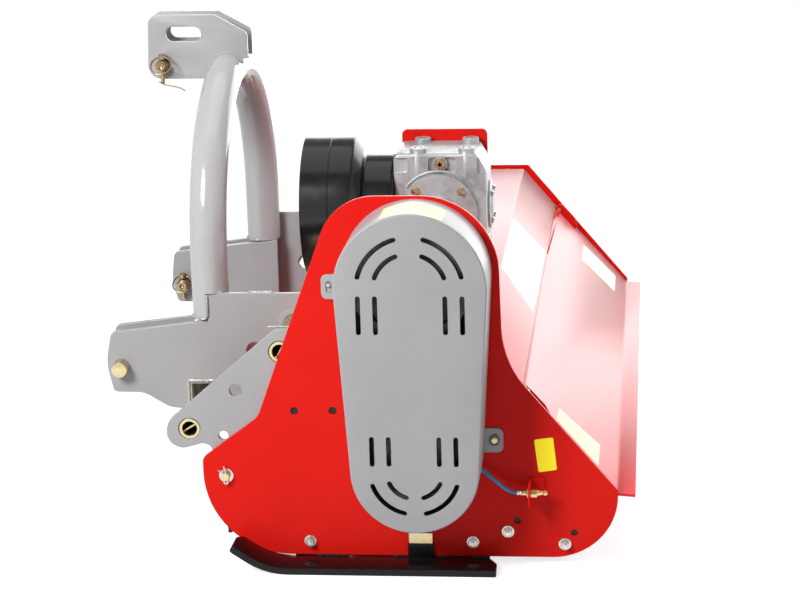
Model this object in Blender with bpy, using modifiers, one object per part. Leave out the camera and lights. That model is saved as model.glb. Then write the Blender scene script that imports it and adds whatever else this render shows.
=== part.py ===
"""Side-shift flail mulcher for a tractor's three-point hitch.

World axes: +X to the rear, +Y from the belt side to the far side, +Z up.
Design coordinates have X = 0 and the two drive axes in one vertical plane,
Y = 0 on the outer face of the near side plate and Z = 0 on the ground.
The machine_origin empty moves the middle of the footprint to the world's origin.
All lengths are metres.
"""

import math

import bmesh
import bpy
from mathutils import Matrix, Vector

# Clearances
GAP = 0.0003            # between pieces that touch or are bolted together
RUNNING = 0.0005        # radial play of a shaft or pin in its bore
WELD_OVERLAP = 0.0005   # how far welded details sink into the piece that carries them

# Body
BODY_WIDTH = 1.650      # outer face to outer face of the side plates
PLATE = 0.008           # side plate thickness
SHELL = 0.005           # deck and hood sheet thickness
PLATE_FOOT_Z = 0.015    # underside of the side plates
PLATE_TOP_Z = 0.751     # top of the near side plate
FAR_TOP_Z = 0.462       # top of the far side plate
PLATE_FRONT_X = -0.439
PLATE_REAR_X = 0.387
ROUND = 20              # flats around the shafts and their bores
DECK_TOP_Z = 0.452
DECK_FRONT_X = -0.190
DECK_REAR_X = 0.118
FOLD_X = 0.200
FOLD_Z = 0.356
DECK_NOSE_X = -0.372
DECK_NOSE_Z = 0.203

# Drive
ROTOR_Z = 0.240
DRIVE_Z = 0.602
SHAFT_R = 0.0175
SPLINE_COUNT = 6
GEARBOX_Y = 0.583
GEARBOX_FRONT_X = -0.0965
GEARBOX_REAR_X = 0.102
GEARBOX_HALF_WIDTH = 0.075
GEARBOX_TOP_Z = 0.735
GEARBOX_FOOT = 0.008

# Belt drive
UPPER_PULLEY_R = 0.115
LOWER_PULLEY_R = 0.080
BELT_COUNT = 3
BELT_WIDTH = 0.013
BELT_THICKNESS = 0.010
BELT_PITCH = 0.019
GROOVE_DEPTH = 0.011
BELT_SEAT = 0.0015      # belt above the groove's floor, so that the flats clear it
PULLEY_Y = -0.118       # outer face of both pulleys
PULLEY_WIDTH = 0.064

# Belt cover
COVER_FACE_Y = -0.135
COVER_SHEET = 0.003
COVER_UPPER_R = 0.146
COVER_LOWER_R = 0.1245
COVER_LOWER_Z = 0.238
COVER_UPPER_Z = 0.600
SLOT_WIDTH = 0.0095
TAB_SLOT_WIDTH = 0.011
TAB_SLOT_LENGTH = 0.012      # between the centres of its round ends
HOSE_CLEARANCE = 0.0022      # around the hose where it leaves the cover

# Rotor
ROTOR_TUBE_R = 0.070
TUBE_WALL = 0.008       # of the rotor and the roller
END_DISC = 0.012        # their end discs
DISC_VENT_R = 0.006     # hole in each end disc
ROTOR_STUB_R = 0.020
BEARING_R = 0.056
BEARING_DEPTH = 0.040
HAMMER_COUNT = 8
HAMMER_PHASE_DEG = 22.5
HAMMER_STEP_DEG = 135.0
HAMMER_SWING_DEG = 105.0  # from the radial direction, where the head meets its lugs
HAMMER_PIVOT_R = 0.110
HAMMER_REACH = 0.078
HAMMER_WIDTH = 0.120
HAMMER_HEAD_THICKNESS = 0.032
HAMMER_HEAD_HEIGHT = 0.048
HAMMER_EYE_WIDTH = 0.028
HAMMER_PIN_R = 0.008
LUG_THICKNESS = 0.009

# Roller
ROLLER_X = 0.262
ROLLER_R = 0.060
ROLLER_LIFT = 0.0004    # keeps the roller's facets above the ground plane
ROLLER_AXLE_R = 0.0125
ROLLER_BRACKET = 0.010
ROLLER_BOSS = 0.030
ROLLER_END_GAP = 0.004

# Front flaps
FLAP_ROD_X = -0.392
FLAP_ROD_Z = 0.182
FLAP_ROD_R = 0.008
FLAP_COUNT = 4
FLAP_TONGUES = 5
FLAP_BARREL_R = 0.013
FLAP_BARREL_INSET = 0.002
FLAP_THICKNESS = 0.008
FLAP_FOOT_Z = 0.056
FLAP_SIDE_GAP = 0.003
FLAP_SLIT = 0.004

# Rear hood
HOOD_GAP = 0.003        # between the deck's rear edge and the hood
HOOD_LIP_X = 0.385
HOOD_LIP_Z = 0.148
HOOD_END_X = 0.421
HOOD_END_Z = 0.145
HOOD_LUG_HEIGHT = 0.020
HOOD_LUG_LENGTH = 0.075
HOOD_LUG = 0.006
HOOD_LUG_INSET = 0.028
HOOD_PIN_R = 0.005

# Skids
SKID_OUTREACH = 0.075
SKID_THICKNESS = 0.0147
SKID_FRONT_X = -0.3816
SKID_BEND_X = -0.310      # where the nose starts to rise
SKID_NOSE_Z = 0.048
SKID_MITRE = 0.022        # how far the ends fall back beside the plate
SKID_MITRE_WIDTH = 0.040
SKID_REAR_X = 0.149
SKID_STRAP_X = -0.005
SKID_STRAP_WIDTH = 0.052
SKID_STRAP_TOP_Z = 0.044

# Guide shafts and their end brackets
LOWER_SHAFT_X = -0.464
LOWER_SHAFT_Z = 0.276
UPPER_SHAFT_X = -0.276
UPPER_SHAFT_Z = 0.436
GUIDE_R = 0.022
GUIDE_BORE_R = 0.0145
END_BRACKET = 0.012

# Headstock
HITCH_CENTRE_Y = 0.583
HITCH_PLATE = 0.012
BALL_GAP = 0.043             # space for the lower-link ball
CROSSBAR_SIZE = 0.076
CROSSBAR_WALL = 0.006
SLEEVE_R = 0.033
SLEEVE_LENGTH = 0.065
SLIDE_BUSH = 0.020
HOOP_X = -0.453
HOOP_TUBE_R = 0.038
HOOP_ARCH_R = 0.340
HOOP_ARCH_Z = 0.566
HOOP_STEPS = 17
INNER_TOP_Z = 0.446
OUTER_TOP_Z = 0.501
NOTCH_X = -0.457
LOWER_PIN_X = -0.642
LOWER_PIN_Z = 0.344
LOWER_PIN_R = 0.014
LOWER_PIN_HEAD_R = 0.017
LOWER_PIN_HEAD = 0.028
TOP_PIN_X = -0.591
TOP_PIN_Z = 0.919
TOP_PIN_R = 0.0125
TOP_GAP = 0.050              # space for the top-link ball
TOP_PLATE = 0.010
PIN_TAIL = 0.034
LYNCH_R = 0.0045
LYNCH_LENGTH = 0.052
LYNCH_RING_R = 0.022
LYNCH_WIRE_R = 0.002
LYNCH_RING_LEAN_DEG = 48.0   # below the level, out over the end of the hitch pin

# Shield around the power take-off
SHIELD_BELL_R = 0.152
SHIELD_NECK_R = 0.112
SHIELD_WALL = 0.003
SHIELD_FRONT_X = -0.292
SHIELD_SHOULDER_X = -0.184
SHIELD_NECK_X = -0.160
SHIELD_FLAT = 0.004     # between the shield's flat underside and the upper guide shaft

# Grease hose
HOSE_R = 0.0038
HOSE_Y = -0.024
HOSE_EXIT_Z = 0.205     # where the hose leaves the belt cover
BEARING_NIPPLE_X = 0.058
NIPPLE_Z = 0.1615
NIPPLE_R = 0.005
NIPPLE_HEX_R = 0.0088
HOSE_FIN_X = 0.213
HOSE_FIN = 0.004

# Values worked out from the ones above
FAR_FACE_Y = BODY_WIDTH
FAR_INNER_Y = BODY_WIDTH - PLATE
NEAR_INNER_Y = PLATE
HAMMER_FIRST_Y = 0.08 * BODY_WIDTH
HAMMER_SPACING = 0.12 * BODY_WIDTH
HOOP_OVER_PLATE = 0.005      # outer side of the hoop's leg past the outer plate's face
OUTER_PLATE_OFFSET = HOOP_ARCH_R + HOOP_TUBE_R - HOOP_OVER_PLATE
INNER_OFFSET = OUTER_PLATE_OFFSET - HITCH_PLATE - BALL_GAP
BALL_OFFSET = OUTER_PLATE_OFFSET - HITCH_PLATE - BALL_GAP / 2
HITCH_FRONT_X = LOWER_PIN_X - 0.031
FLAP_SPAN = BODY_WIDTH - 2 * PLATE
FLAP_PITCH = FLAP_SPAN / FLAP_COUNT
ROLLER_Z = ROLLER_R + ROLLER_LIFT


# Points and outlines

def corner_arc(before, corner, after, radius, steps):
    """Return the points of a fillet of this radius in a polygon corner."""
    to_before = (before - corner).normalized()
    to_after = (after - corner).normalized()
    half = to_before.angle(to_after) / 2
    reach = radius / math.tan(half)
    centre = corner + (to_before + to_after).normalized() * (radius / math.sin(half))
    start = corner + to_before * reach - centre
    end = corner + to_after * reach - centre
    first = math.atan2(start.y, start.x)
    sweep = math.atan2(end.y, end.x) - first
    sweep = (sweep + math.pi) % (2 * math.pi) - math.pi
    count = max(1, round(steps * abs(sweep) / (math.pi / 2)))
    angles = [first + sweep * i / count for i in range(count + 1)]
    return [(centre.x + radius * math.cos(a), centre.y + radius * math.sin(a)) for a in angles]


def filleted(corners, steps=4):
    """Turn corners given as (x, z, radius) into a closed outline."""
    points = []
    count = len(corners)
    for index, (x, z, radius) in enumerate(corners):
        before = Vector(corners[index - 1][:2])
        after = Vector(corners[(index + 1) % count][:2])
        if radius <= 0:
            points.append((x, z))
        else:
            points.extend(corner_arc(before, Vector((x, z)), after, radius, steps))
    return points


def circle(x, z, radius, count=16):
    """Return a closed round outline."""
    angles = [2 * math.pi * (i + 0.5) / count for i in range(count)]
    return [(x + radius * math.cos(a), z + radius * math.sin(a)) for a in angles]


def arc(x, z, radius, first_deg, last_deg, count):
    """Return the points of an arc from one angle to another."""
    angles = [math.radians(first_deg + (last_deg - first_deg) * i / count) for i in range(count + 1)]
    return [(x + radius * math.cos(a), z + radius * math.sin(a)) for a in angles]


def rectangle(x0, z0, x1, z1, radius=0.0, steps=3):
    """Return a rectangle with equal corner radii."""
    return filleted([(x0, z0, radius), (x1, z0, radius), (x1, z1, radius), (x0, z1, radius)], steps)


def slot_outline(path, width, cap=2):
    """Return the closed outline of a slot with round ends along a path."""
    points = [Vector(p) for p in path]
    left = []
    right = []
    for index, point in enumerate(points):
        ahead = points[min(index + 1, len(points) - 1)] - points[max(index - 1, 0)]
        side = Vector((-ahead.y, ahead.x)).normalized() * width / 2
        left.append(point + side)
        right.append(point - side)

    def end_cap(centre, start):
        offset = start - centre
        turned_points = []
        for i in range(1, cap):
            angle = -math.pi * i / cap
            turned_points.append(centre + Matrix.Rotation(angle, 2) @ offset)
        return turned_points

    outline = left + end_cap(points[-1], left[-1]) + right[::-1] + end_cap(points[0], right[0])
    return [(p.x, p.y) for p in outline]


def strip_outline(path, thickness):
    """Return the outline of a bent sheet: the path and its offset to the right."""
    points = [Vector(p) for p in path]
    inner = []
    for index, point in enumerate(points):
        before = (point - points[index - 1]).normalized() if index else None
        after = (points[index + 1] - point).normalized() if index + 1 < len(points) else None
        first = before or after
        last = after or before
        normal = Vector((first.y, -first.x)) + Vector((last.y, -last.x))
        normal.normalize()
        scale = normal.dot(Vector((first.y, -first.x)))
        inner.append(point + normal * (thickness / scale))
    return [tuple(p) for p in points] + [tuple(p) for p in reversed(inner)]


def belt_outline(upper_r, lower_r, upper_z=DRIVE_Z, lower_z=ROTOR_Z, steps=12):
    """Return the closed outline that wraps the two drive axes."""
    lean = math.degrees(math.asin((upper_r - lower_r) / (upper_z - lower_z)))
    upper = arc(0.0, upper_z, upper_r, -lean, 180 + lean, steps)
    lower = arc(0.0, lower_z, lower_r, 180 + lean, 360 - lean, steps)
    return upper + lower


# Objects

def clear_scene():
    """Remove every object that the file holds."""
    for item in list(bpy.data.objects):
        bpy.data.objects.remove(item, do_unlink=True)


def new_collection(name):
    """Add a collection to the scene."""
    collection = bpy.data.collections.new(name)
    bpy.context.scene.collection.children.link(collection)
    return collection


def new_material(name, colour, roughness, metallic):
    """Make a Principled material with these three values."""
    material = bpy.data.materials.new(name)
    material.use_nodes = True
    shader = material.node_tree.nodes["Principled BSDF"]
    shader.inputs["Base Color"].default_value = (*colour, 1.0)
    shader.inputs["Roughness"].default_value = roughness
    shader.inputs["Metallic"].default_value = metallic
    material.diffuse_color = (*colour, 1.0)
    return material


clear_scene()
PARTS = new_collection("flail_mulcher")
CUTTERS = new_collection("cutters")

ORIGIN = bpy.data.objects.new("machine_origin", None)
PARTS.objects.link(ORIGIN)

FINISHES = {
    "red": ((0.80, 0.018, 0.010), 0.28, 0.0),
    "grey": ((0.40, 0.40, 0.41), 0.38, 0.0),
    "black_plastic": ((0.017, 0.017, 0.020), 0.40, 0.0),
    "black_gloss": ((0.010, 0.010, 0.012), 0.22, 0.0),
    "zinc": ((0.72, 0.53, 0.24), 0.32, 0.9),
    "cast": ((0.62, 0.62, 0.64), 0.42, 0.7),
    "steel": ((0.42, 0.42, 0.43), 0.35, 0.9),
    "forged": ((0.16, 0.15, 0.15), 0.55, 0.7),
    "rubber": ((0.015, 0.015, 0.015), 0.70, 0.0),
    "blue": ((0.06, 0.28, 0.62), 0.40, 0.0),
    "brass": ((0.72, 0.50, 0.16), 0.30, 0.9),
}


def finish(item, kind):
    """Give an object its own material of this kind."""
    colour, roughness, metallic = FINISHES[kind]
    item.data.materials.clear()
    item.data.materials.append(new_material(f"{item.name}_{kind}", colour, roughness, metallic))


def place(item, location, parent=ORIGIN):
    """Put an object at its design coordinates under the machine's origin."""
    item.parent = parent
    item.location = location
    return item


def add_mesh(name, shape):
    """Make an object of a bmesh and free the bmesh."""
    mesh = bpy.data.meshes.new(name)
    shape.to_mesh(mesh)
    shape.free()
    item = bpy.data.objects.new(name, mesh)
    PARTS.objects.link(item)
    return item


def flattened(item):
    """Replace an object by the plain mesh that its curve or modifiers make."""
    bpy.context.view_layer.update()
    graph = bpy.context.evaluated_depsgraph_get()
    mesh = bpy.data.meshes.new_from_object(item.evaluated_get(graph))
    name = item.name
    parent = item.parent
    basis = item.matrix_basis.copy()
    bpy.data.objects.remove(item, do_unlink=True)
    shape = bmesh.new()
    shape.from_mesh(mesh)
    bmesh.ops.remove_doubles(shape, verts=shape.verts, dist=0.00001)
    bmesh.ops.recalc_face_normals(shape, faces=shape.faces)
    shape.to_mesh(mesh)
    shape.free()
    plain = bpy.data.objects.new(name, mesh)
    mesh.name = name
    PARTS.objects.link(plain)
    plain.parent = parent
    plain.matrix_basis = basis
    return plain


def slab(name, loops, thickness, start, axis="Y", pivot=(0.0, 0.0)):
    """Extrude flat outlines, holes included, along an axis.

    Outlines are (x, z) pairs for axis Y, (y, z) pairs for axis X and (x, y)
    pairs for axis Z. The slab runs from start to start + thickness. The pivot becomes the object's origin.
    """
    curve = bpy.data.curves.new(name, "CURVE")
    curve.dimensions = "2D"
    curve.fill_mode = "BOTH"
    curve.extrude = thickness / 2
    for loop in loops:
        spline = curve.splines.new("POLY")
        spline.points.add(len(loop) - 1)
        for point, (u, v) in zip(spline.points, loop):
            point.co = (u - pivot[0], v - pivot[1], 0.0, 1.0)
        spline.use_cyclic_u = True
    item = bpy.data.objects.new(name, curve)
    PARTS.objects.link(item)
    middle = start + thickness / 2
    if axis == "Y":
        item.rotation_euler = (math.pi / 2, 0.0, 0.0)
        place(item, (pivot[0], middle, pivot[1]))
    elif axis == "Z":
        place(item, (pivot[0], pivot[1], middle))
    else:
        item.rotation_euler = (math.pi / 2, 0.0, math.pi / 2)
        place(item, (middle, pivot[0], pivot[1]))
    return flattened(item)


def block(name, x_range, y_range, z_range):
    """Make a box between these limits."""
    shape = bmesh.new()
    size = [high - low for low, high in (x_range, y_range, z_range)]
    bmesh.ops.create_cube(shape, size=1.0, matrix=Matrix.Diagonal((*size, 1.0)))
    item = add_mesh(name, shape)
    return place(item, [(low + high) / 2 for low, high in (x_range, y_range, z_range)])


def turned(name, profile, location, axis="Y", segments=ROUND, closed=True):
    """Turn a profile of (radius, distance along the axis) pairs about an axis.

    A closed profile is a ring's section. An open one starts and ends on the axis.
    """
    shape = bmesh.new()
    verts = [shape.verts.new((radius, 0.0, -along)) for radius, along in profile]
    for first, second in zip(verts, verts[1:]):
        shape.edges.new((first, second))
    if closed:
        shape.edges.new((verts[-1], verts[0]))
    item = add_mesh(name, shape)
    screw = item.modifiers.new("turn", "SCREW")
    screw.angle = 2 * math.pi
    screw.steps = segments
    screw.render_steps = segments
    screw.use_merge_vertices = True
    screw.merge_threshold = 0.00001
    screw.use_smooth_shade = True
    tilt = {"Y": (math.pi / 2, 0.0, 0.0), "X": (0.0, -math.pi / 2, 0.0), "Z": (math.pi, 0.0, 0.0)}
    item.rotation_euler = tilt[axis]
    place(item, location)
    return flattened(item)


def rod(name, radius, start, length, x, z, axis="Y", segments=12):
    """Make a plain round bar."""
    profile = [(0.0, 0.0), (radius, 0.0), (radius, length), (0.0, length)]
    location = (x, start, z) if axis == "Y" else (start, x, z)
    return turned(name, profile, location, axis, segments, closed=False)


def swept(name, points, radius, cyclic=False, resolution=2):
    """Make a round wire or tube along a list of points."""
    curve = bpy.data.curves.new(name, "CURVE")
    curve.dimensions = "3D"
    curve.bevel_depth = radius
    curve.bevel_resolution = resolution
    curve.use_fill_caps = True
    curve.render_resolution_u = 0
    spline = curve.splines.new("POLY")
    spline.points.add(len(points) - 1)
    for point, place_at in zip(spline.points, points):
        point.co = (*place_at, 1.0)
    spline.use_cyclic_u = cyclic
    item = bpy.data.objects.new(name, curve)
    PARTS.objects.link(item)
    place(item, (0.0, 0.0, 0.0))
    return flattened(item)


def boolean(item, others, operation):
    """Add or take away other objects, which move to the cutters collection."""
    for other in others:
        modifier = item.modifiers.new(f"{operation.lower()}_{other.name}", "BOOLEAN")
        modifier.operation = operation
        modifier.solver = "EXACT"
        modifier.object = other
    item = flattened(item)
    for other in others:
        bpy.data.objects.remove(other, do_unlink=True)
    return item


def add_to(item, *others):
    """Weld other objects onto an object."""
    return boolean(item, others, "UNION")


def cut_from(item, *others):
    """Cut other objects out of an object."""
    return boolean(item, others, "DIFFERENCE")


def joined(name, items):
    """Put the meshes of several objects that don't touch into one object."""
    bpy.context.view_layer.update()
    shape = bmesh.new()
    for item in items:
        mesh = item.data.copy()
        mesh.transform(ORIGIN.matrix_world.inverted() @ item.matrix_world)
        shape.from_mesh(mesh)
        bpy.data.meshes.remove(mesh)
        bpy.data.objects.remove(item, do_unlink=True)
    return place(add_mesh(name, shape), (0.0, 0.0, 0.0))


def centre_footprint():
    """Move the machine so that the middle of its footprint is the world's origin."""
    bpy.context.view_layer.update()
    spots = []
    for item in PARTS.objects:
        if item.type == "MESH":
            spots.extend(item.matrix_world @ Vector(corner) for corner in item.bound_box)
    middles = [(min(p[i] for p in spots) + max(p[i] for p in spots)) / 2 for i in range(2)]
    ORIGIN.location = (-middles[0], -middles[1], 0.0)


def set_origin(item, location):
    """Move an object's origin to design coordinates without moving its shape."""
    bpy.context.view_layer.update()
    to_design = ORIGIN.matrix_world.inverted() @ item.matrix_world
    item.data.transform(Matrix.Translation(-Vector(location)) @ to_design)
    item.rotation_euler = (0.0, 0.0, 0.0)
    item.location = location
    return item


# Side plates and deck

def near_plate_outline():
    """Return the outline of the near side plate, which also backs the belt drive."""
    return filleted([
        (-0.157, PLATE_TOP_Z, 0.112),
        (-0.324, 0.303, 0.045),
        (PLATE_FRONT_X, 0.218, 0.020),
        (PLATE_FRONT_X, PLATE_FOOT_Z, 0.172),
        (PLATE_REAR_X, PLATE_FOOT_Z, 0.130),
        (PLATE_REAR_X, 0.156, 0.006),
        (0.164, 0.420, 0.190),
        (0.157, PLATE_TOP_Z, 0.152),
    ], 6)


def far_plate_outline():
    """Return the outline of the far side plate, which stops just above the deck."""
    return filleted([
        (-0.264, FAR_TOP_Z, 0.020),
        (-0.324, 0.303, 0.045),
        (PLATE_FRONT_X, 0.218, 0.020),
        (PLATE_FRONT_X, PLATE_FOOT_Z, 0.172),
        (PLATE_REAR_X, PLATE_FOOT_Z, 0.130),
        (PLATE_REAR_X, 0.156, 0.006),
        (0.130, FAR_TOP_Z, 0.008),
    ], 6)


def hood_axis():
    """Return the rear hood's pivot, just above the sheet behind the fold."""
    slope = (Vector((HOOD_LIP_X, HOOD_LIP_Z)) - Vector((FOLD_X, FOLD_Z))).normalized()
    outward = Vector((-slope.y, slope.x))
    return Vector((FOLD_X, FOLD_Z)) + slope * (HOOD_GAP + 0.008) + outward * 0.0035


def build_side_plates():
    """Make the two side plates with their shaft, rod and bolt holes."""
    rod_hole = circle(FLAP_ROD_X, FLAP_ROD_Z, FLAP_ROD_R + RUNNING, 12)
    rotor_hole = circle(0.0, ROTOR_Z, ROTOR_STUB_R + 0.002)
    pivot = hood_axis()
    pivot_hole = circle(pivot.x, pivot.y, HOOD_PIN_R + RUNNING, 12)
    adjusters = [circle(x, z, 0.007, 8) for x, z in ((0.188, 0.092), (0.301, 0.067))]
    bracket_holes = [circle(x, z, 0.008, 8) for x, z in ((-0.250, 0.317), (-0.173, 0.318))]
    cross_hole = circle(0.0, DRIVE_Z, SHAFT_R + 0.003)
    near_loops = [near_plate_outline(), rod_hole, rotor_hole, cross_hole]
    near = slab("near_side_plate", near_loops + adjusters + bracket_holes, PLATE, 0.0)
    far_loops = [far_plate_outline(), rod_hole, rotor_hole, pivot_hole]
    far = slab("far_side_plate", far_loops + adjusters, PLATE, FAR_INNER_Y)
    finish(near, "red")
    finish(far, "red")


def build_deck():
    """Make the bent deck sheet from the flap rod over the top to the fold."""
    path = [
        (DECK_NOSE_X, DECK_NOSE_Z),
        (DECK_FRONT_X, DECK_TOP_Z),
        (DECK_REAR_X, DECK_TOP_Z),
        (FOLD_X, FOLD_Z),
    ]
    start = NEAR_INNER_Y + GAP
    deck = slab("deck_shell", [strip_outline(path, SHELL)], FLAP_SPAN - 2 * GAP, start)
    finish(deck, "red")


# Rear hood

def build_rear_hood():
    """Make the hinged rear hood, its end lugs and its two pivots."""
    fold = Vector((FOLD_X, FOLD_Z))
    slope = (Vector((HOOD_LIP_X, HOOD_LIP_Z)) - fold).normalized()
    outward = Vector((-slope.y, slope.x))
    top = fold + slope * HOOD_GAP
    path = [tuple(top), (HOOD_LIP_X, HOOD_LIP_Z), (HOOD_END_X, HOOD_END_Z)]
    pivot = hood_axis()
    hood = slab("rear_hood", [strip_outline(path, SHELL)], FLAP_SPAN - 2 * GAP, NEAR_INNER_Y + GAP)
    foot = top + slope * 0.001
    lug_corners = [
        (*(foot - outward * SHELL * 0.5), 0.0),
        (*(top + slope * HOOD_LUG_LENGTH - outward * SHELL * 0.5), 0.0),
        (*(top + slope * HOOD_LUG_LENGTH + outward * HOOD_LUG_HEIGHT * 0.4), 0.004),
        (*(top + slope * HOOD_LUG_LENGTH * 0.7 + outward * HOOD_LUG_HEIGHT), 0.006),
        (*(foot + outward * HOOD_LUG_HEIGHT), 0.006),
    ]
    lug_loops = [filleted(lug_corners, 3)]
    lugs = []
    starts = {"near": NEAR_INNER_Y + HOOD_LUG_INSET, "far": FAR_INNER_Y - HOOD_LUG_INSET - HOOD_LUG}
    for side, start in starts.items():
        lugs.append(slab(f"{side}_hood_lug", lug_loops, HOOD_LUG, start))
    hood = add_to(hood, *lugs)
    pockets = []
    for side, start in starts.items():
        name = f"{side}_hood_pocket"
        pockets.append(rod(name, HOOD_PIN_R + RUNNING, start - 0.040, 0.080, pivot.x, pivot.y))
    hood = cut_from(hood, *pockets)
    set_origin(hood, (pivot.x, 0.0, pivot.y))
    finish(hood, "red")
    length = HOOD_LUG_INSET + HOOD_LUG + 0.006
    near = rod("near_hood_pivot", HOOD_PIN_R, NEAR_INNER_Y + GAP, length, pivot.x, pivot.y)
    far_start = FAR_INNER_Y - length
    far = rod("far_hood_pivot", HOOD_PIN_R, far_start, length + PLATE + 0.004, pivot.x, pivot.y)
    finish(near, "zinc")
    finish(far, "zinc")


# Skids

def skid_profile():
    """Return the side view of a skid's sole with its raised nose."""
    top = SKID_THICKNESS
    return filleted([
        (SKID_REAR_X, 0.0, 0.003),
        (SKID_REAR_X, top, 0.003),
        (SKID_BEND_X + 0.0045, top, 0.135),
        (SKID_FRONT_X + 0.0082, SKID_NOSE_Z + 0.0122, 0.003),
        (SKID_FRONT_X, SKID_NOSE_Z, 0.006),
        (SKID_BEND_X, 0.0, 0.150),
    ], 6)


def skid_mitres(face_y, outward):
    """Return the two wedges that cut the sole's ends back beside the plate."""
    wedges = []
    for end_x, toward in ((SKID_REAR_X, 1), (SKID_FRONT_X, -1)):
        beyond = end_x + toward * 0.005
        back = end_x - toward * SKID_MITRE
        outer_y = face_y + outward * SKID_MITRE_WIDTH
        inner_y = face_y - outward * 0.002
        wedge = [(end_x, outer_y), (beyond, outer_y), (beyond, inner_y), (back, inner_y)]
        wedges.append(slab("mitre", [wedge], 0.100, -0.010, axis="Z"))
    return wedges


def build_skid(side, face_y, outward):
    """Make one skid: sole, strap on the plate's face and two lugs inside the plate."""
    sole_width = SKID_OUTREACH - GAP
    inner_reach = PLATE + GAP + 0.010
    outer_start = face_y + (-SKID_OUTREACH if outward < 0 else GAP)
    sole = slab(f"{side}_skid", [skid_profile()], sole_width, outer_start)
    sole = cut_from(sole, *skid_mitres(face_y, outward))
    under_start = face_y - 0.002 if outward < 0 else face_y - inner_reach
    under_width = inner_reach + 0.002
    under = slab("under_plate", [rectangle(-0.236, 0.0, 0.122, SKID_THICKNESS)], under_width, under_start)
    strap_start = face_y - 0.007 - GAP if outward < 0 else face_y + GAP
    strap_loop = rectangle(
        SKID_STRAP_X - SKID_STRAP_WIDTH / 2, 0.005, SKID_STRAP_X + SKID_STRAP_WIDTH / 2, SKID_STRAP_TOP_Z)
    strap = slab("strap", [strap_loop], 0.007, strap_start)
    lug_start = face_y + PLATE + GAP if outward < 0 else face_y - PLATE - GAP - 0.008
    lugs = []
    for x in (-0.228, 0.100):
        lug_loop = rectangle(x - 0.032, 0.005, x + 0.032, 0.062, 0.006)
        lugs.append(slab("skid_lug", [lug_loop, circle(x, 0.044, 0.006, 8)], 0.008, lug_start))
    sole = add_to(sole, under, strap, *lugs)
    finish(sole, "black_gloss")


# Guide shafts

def end_bracket_outline():
    """Return the outline of the plate that holds one end of both guide shafts."""
    return filleted([
        (-0.216, 0.482, 0.010),
        (-0.2844, 0.482, 0.022),
        (-0.5107, 0.289, 0.0427),
        (-0.5107, 0.226, 0.032),
        (-0.438, 0.246, 0.016),
        (-0.420, 0.240, 0.014),
        (-0.420, 0.205, 0.004),
        (-0.372, 0.212, 0.010),
        (-0.216, 0.420, 0.010),
    ], 4)


def build_guide_shafts():
    """Make the two hollow guide shafts and the brackets at their ends."""
    shaft_holes = [
        circle(LOWER_SHAFT_X, LOWER_SHAFT_Z, GUIDE_R + RUNNING, ROUND),
        circle(UPPER_SHAFT_X, UPPER_SHAFT_Z, GUIDE_R + RUNNING, ROUND),
    ]
    loops = [end_bracket_outline()] + shaft_holes
    loops.append(circle(-0.367, 0.356, 0.013, 12))
    loops.append(circle(-0.396, 0.262, 0.010, 12))
    near = slab("near_end_bracket", loops, END_BRACKET, NEAR_INNER_Y + GAP)
    far = slab("far_end_bracket", loops, END_BRACKET, FAR_INNER_Y - GAP - END_BRACKET)
    finish(near, "grey")
    finish(far, "grey")
    length = FLAP_SPAN - 4 * GAP
    ring = [(GUIDE_R, 0.0), (GUIDE_R, length), (GUIDE_BORE_R, length), (GUIDE_BORE_R, 0.0)]
    for name, x, z in (
        ("lower_guide_shaft", LOWER_SHAFT_X, LOWER_SHAFT_Z),
        ("upper_guide_shaft", UPPER_SHAFT_X, UPPER_SHAFT_Z),
    ):
        shaft = turned(name, ring, (x, NEAR_INNER_Y + 2 * GAP, z), segments=ROUND)
        finish(shaft, "zinc")


# Headstock

def outer_hitch_outline():
    """Return the outline of an outer hitch plate, from the link pin to the upper shaft."""
    return filleted([
        (HITCH_FRONT_X + 0.012, 0.417, 0.012),
        (HITCH_FRONT_X - 0.002, 0.352, 0.120),
        (HITCH_FRONT_X + 0.012, 0.289, 0.010),
        (-0.598, 0.288, 0.050),
        (-0.545, 0.256, 0.050),
        (-0.496, 0.252, 0.030),
        (-0.480, 0.222, 0.012),
        (-0.420, 0.222, 0.020),
        (-0.330, 0.330, 0.010),
        (-0.232, 0.398, 0.020),
        (-0.232, OUTER_TOP_Z, 0.006),
        (NOTCH_X, OUTER_TOP_Z, 0.0),
        (NOTCH_X, 0.443, 0.0),
    ], 4)


def inner_hitch_outline():
    """Return the outline of an inner hitch plate, which ends behind the hoop."""
    return filleted([
        (HITCH_FRONT_X + 0.010, 0.418, 0.014),
        (HITCH_FRONT_X + 0.002, 0.352, 0.100),
        (HITCH_FRONT_X + 0.014, 0.298, 0.012),
        (-0.598, 0.298, 0.050),
        (-0.545, 0.256, 0.050),
        (-0.496, 0.252, 0.030),
        (-0.480, 0.222, 0.012),
        (-0.418, 0.222, 0.010),
        (-0.418, INNER_TOP_Z, 0.0),
        (-0.500, INNER_TOP_Z - 0.008, 0.0),
    ], 4)


def crossbar_hole():
    """Return the square hole that the crossbar is welded into."""
    half = CROSSBAR_SIZE / 2 + GAP
    return rectangle(LOWER_SHAFT_X - half, LOWER_SHAFT_Z - half, LOWER_SHAFT_X + half, LOWER_SHAFT_Z + half)


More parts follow.
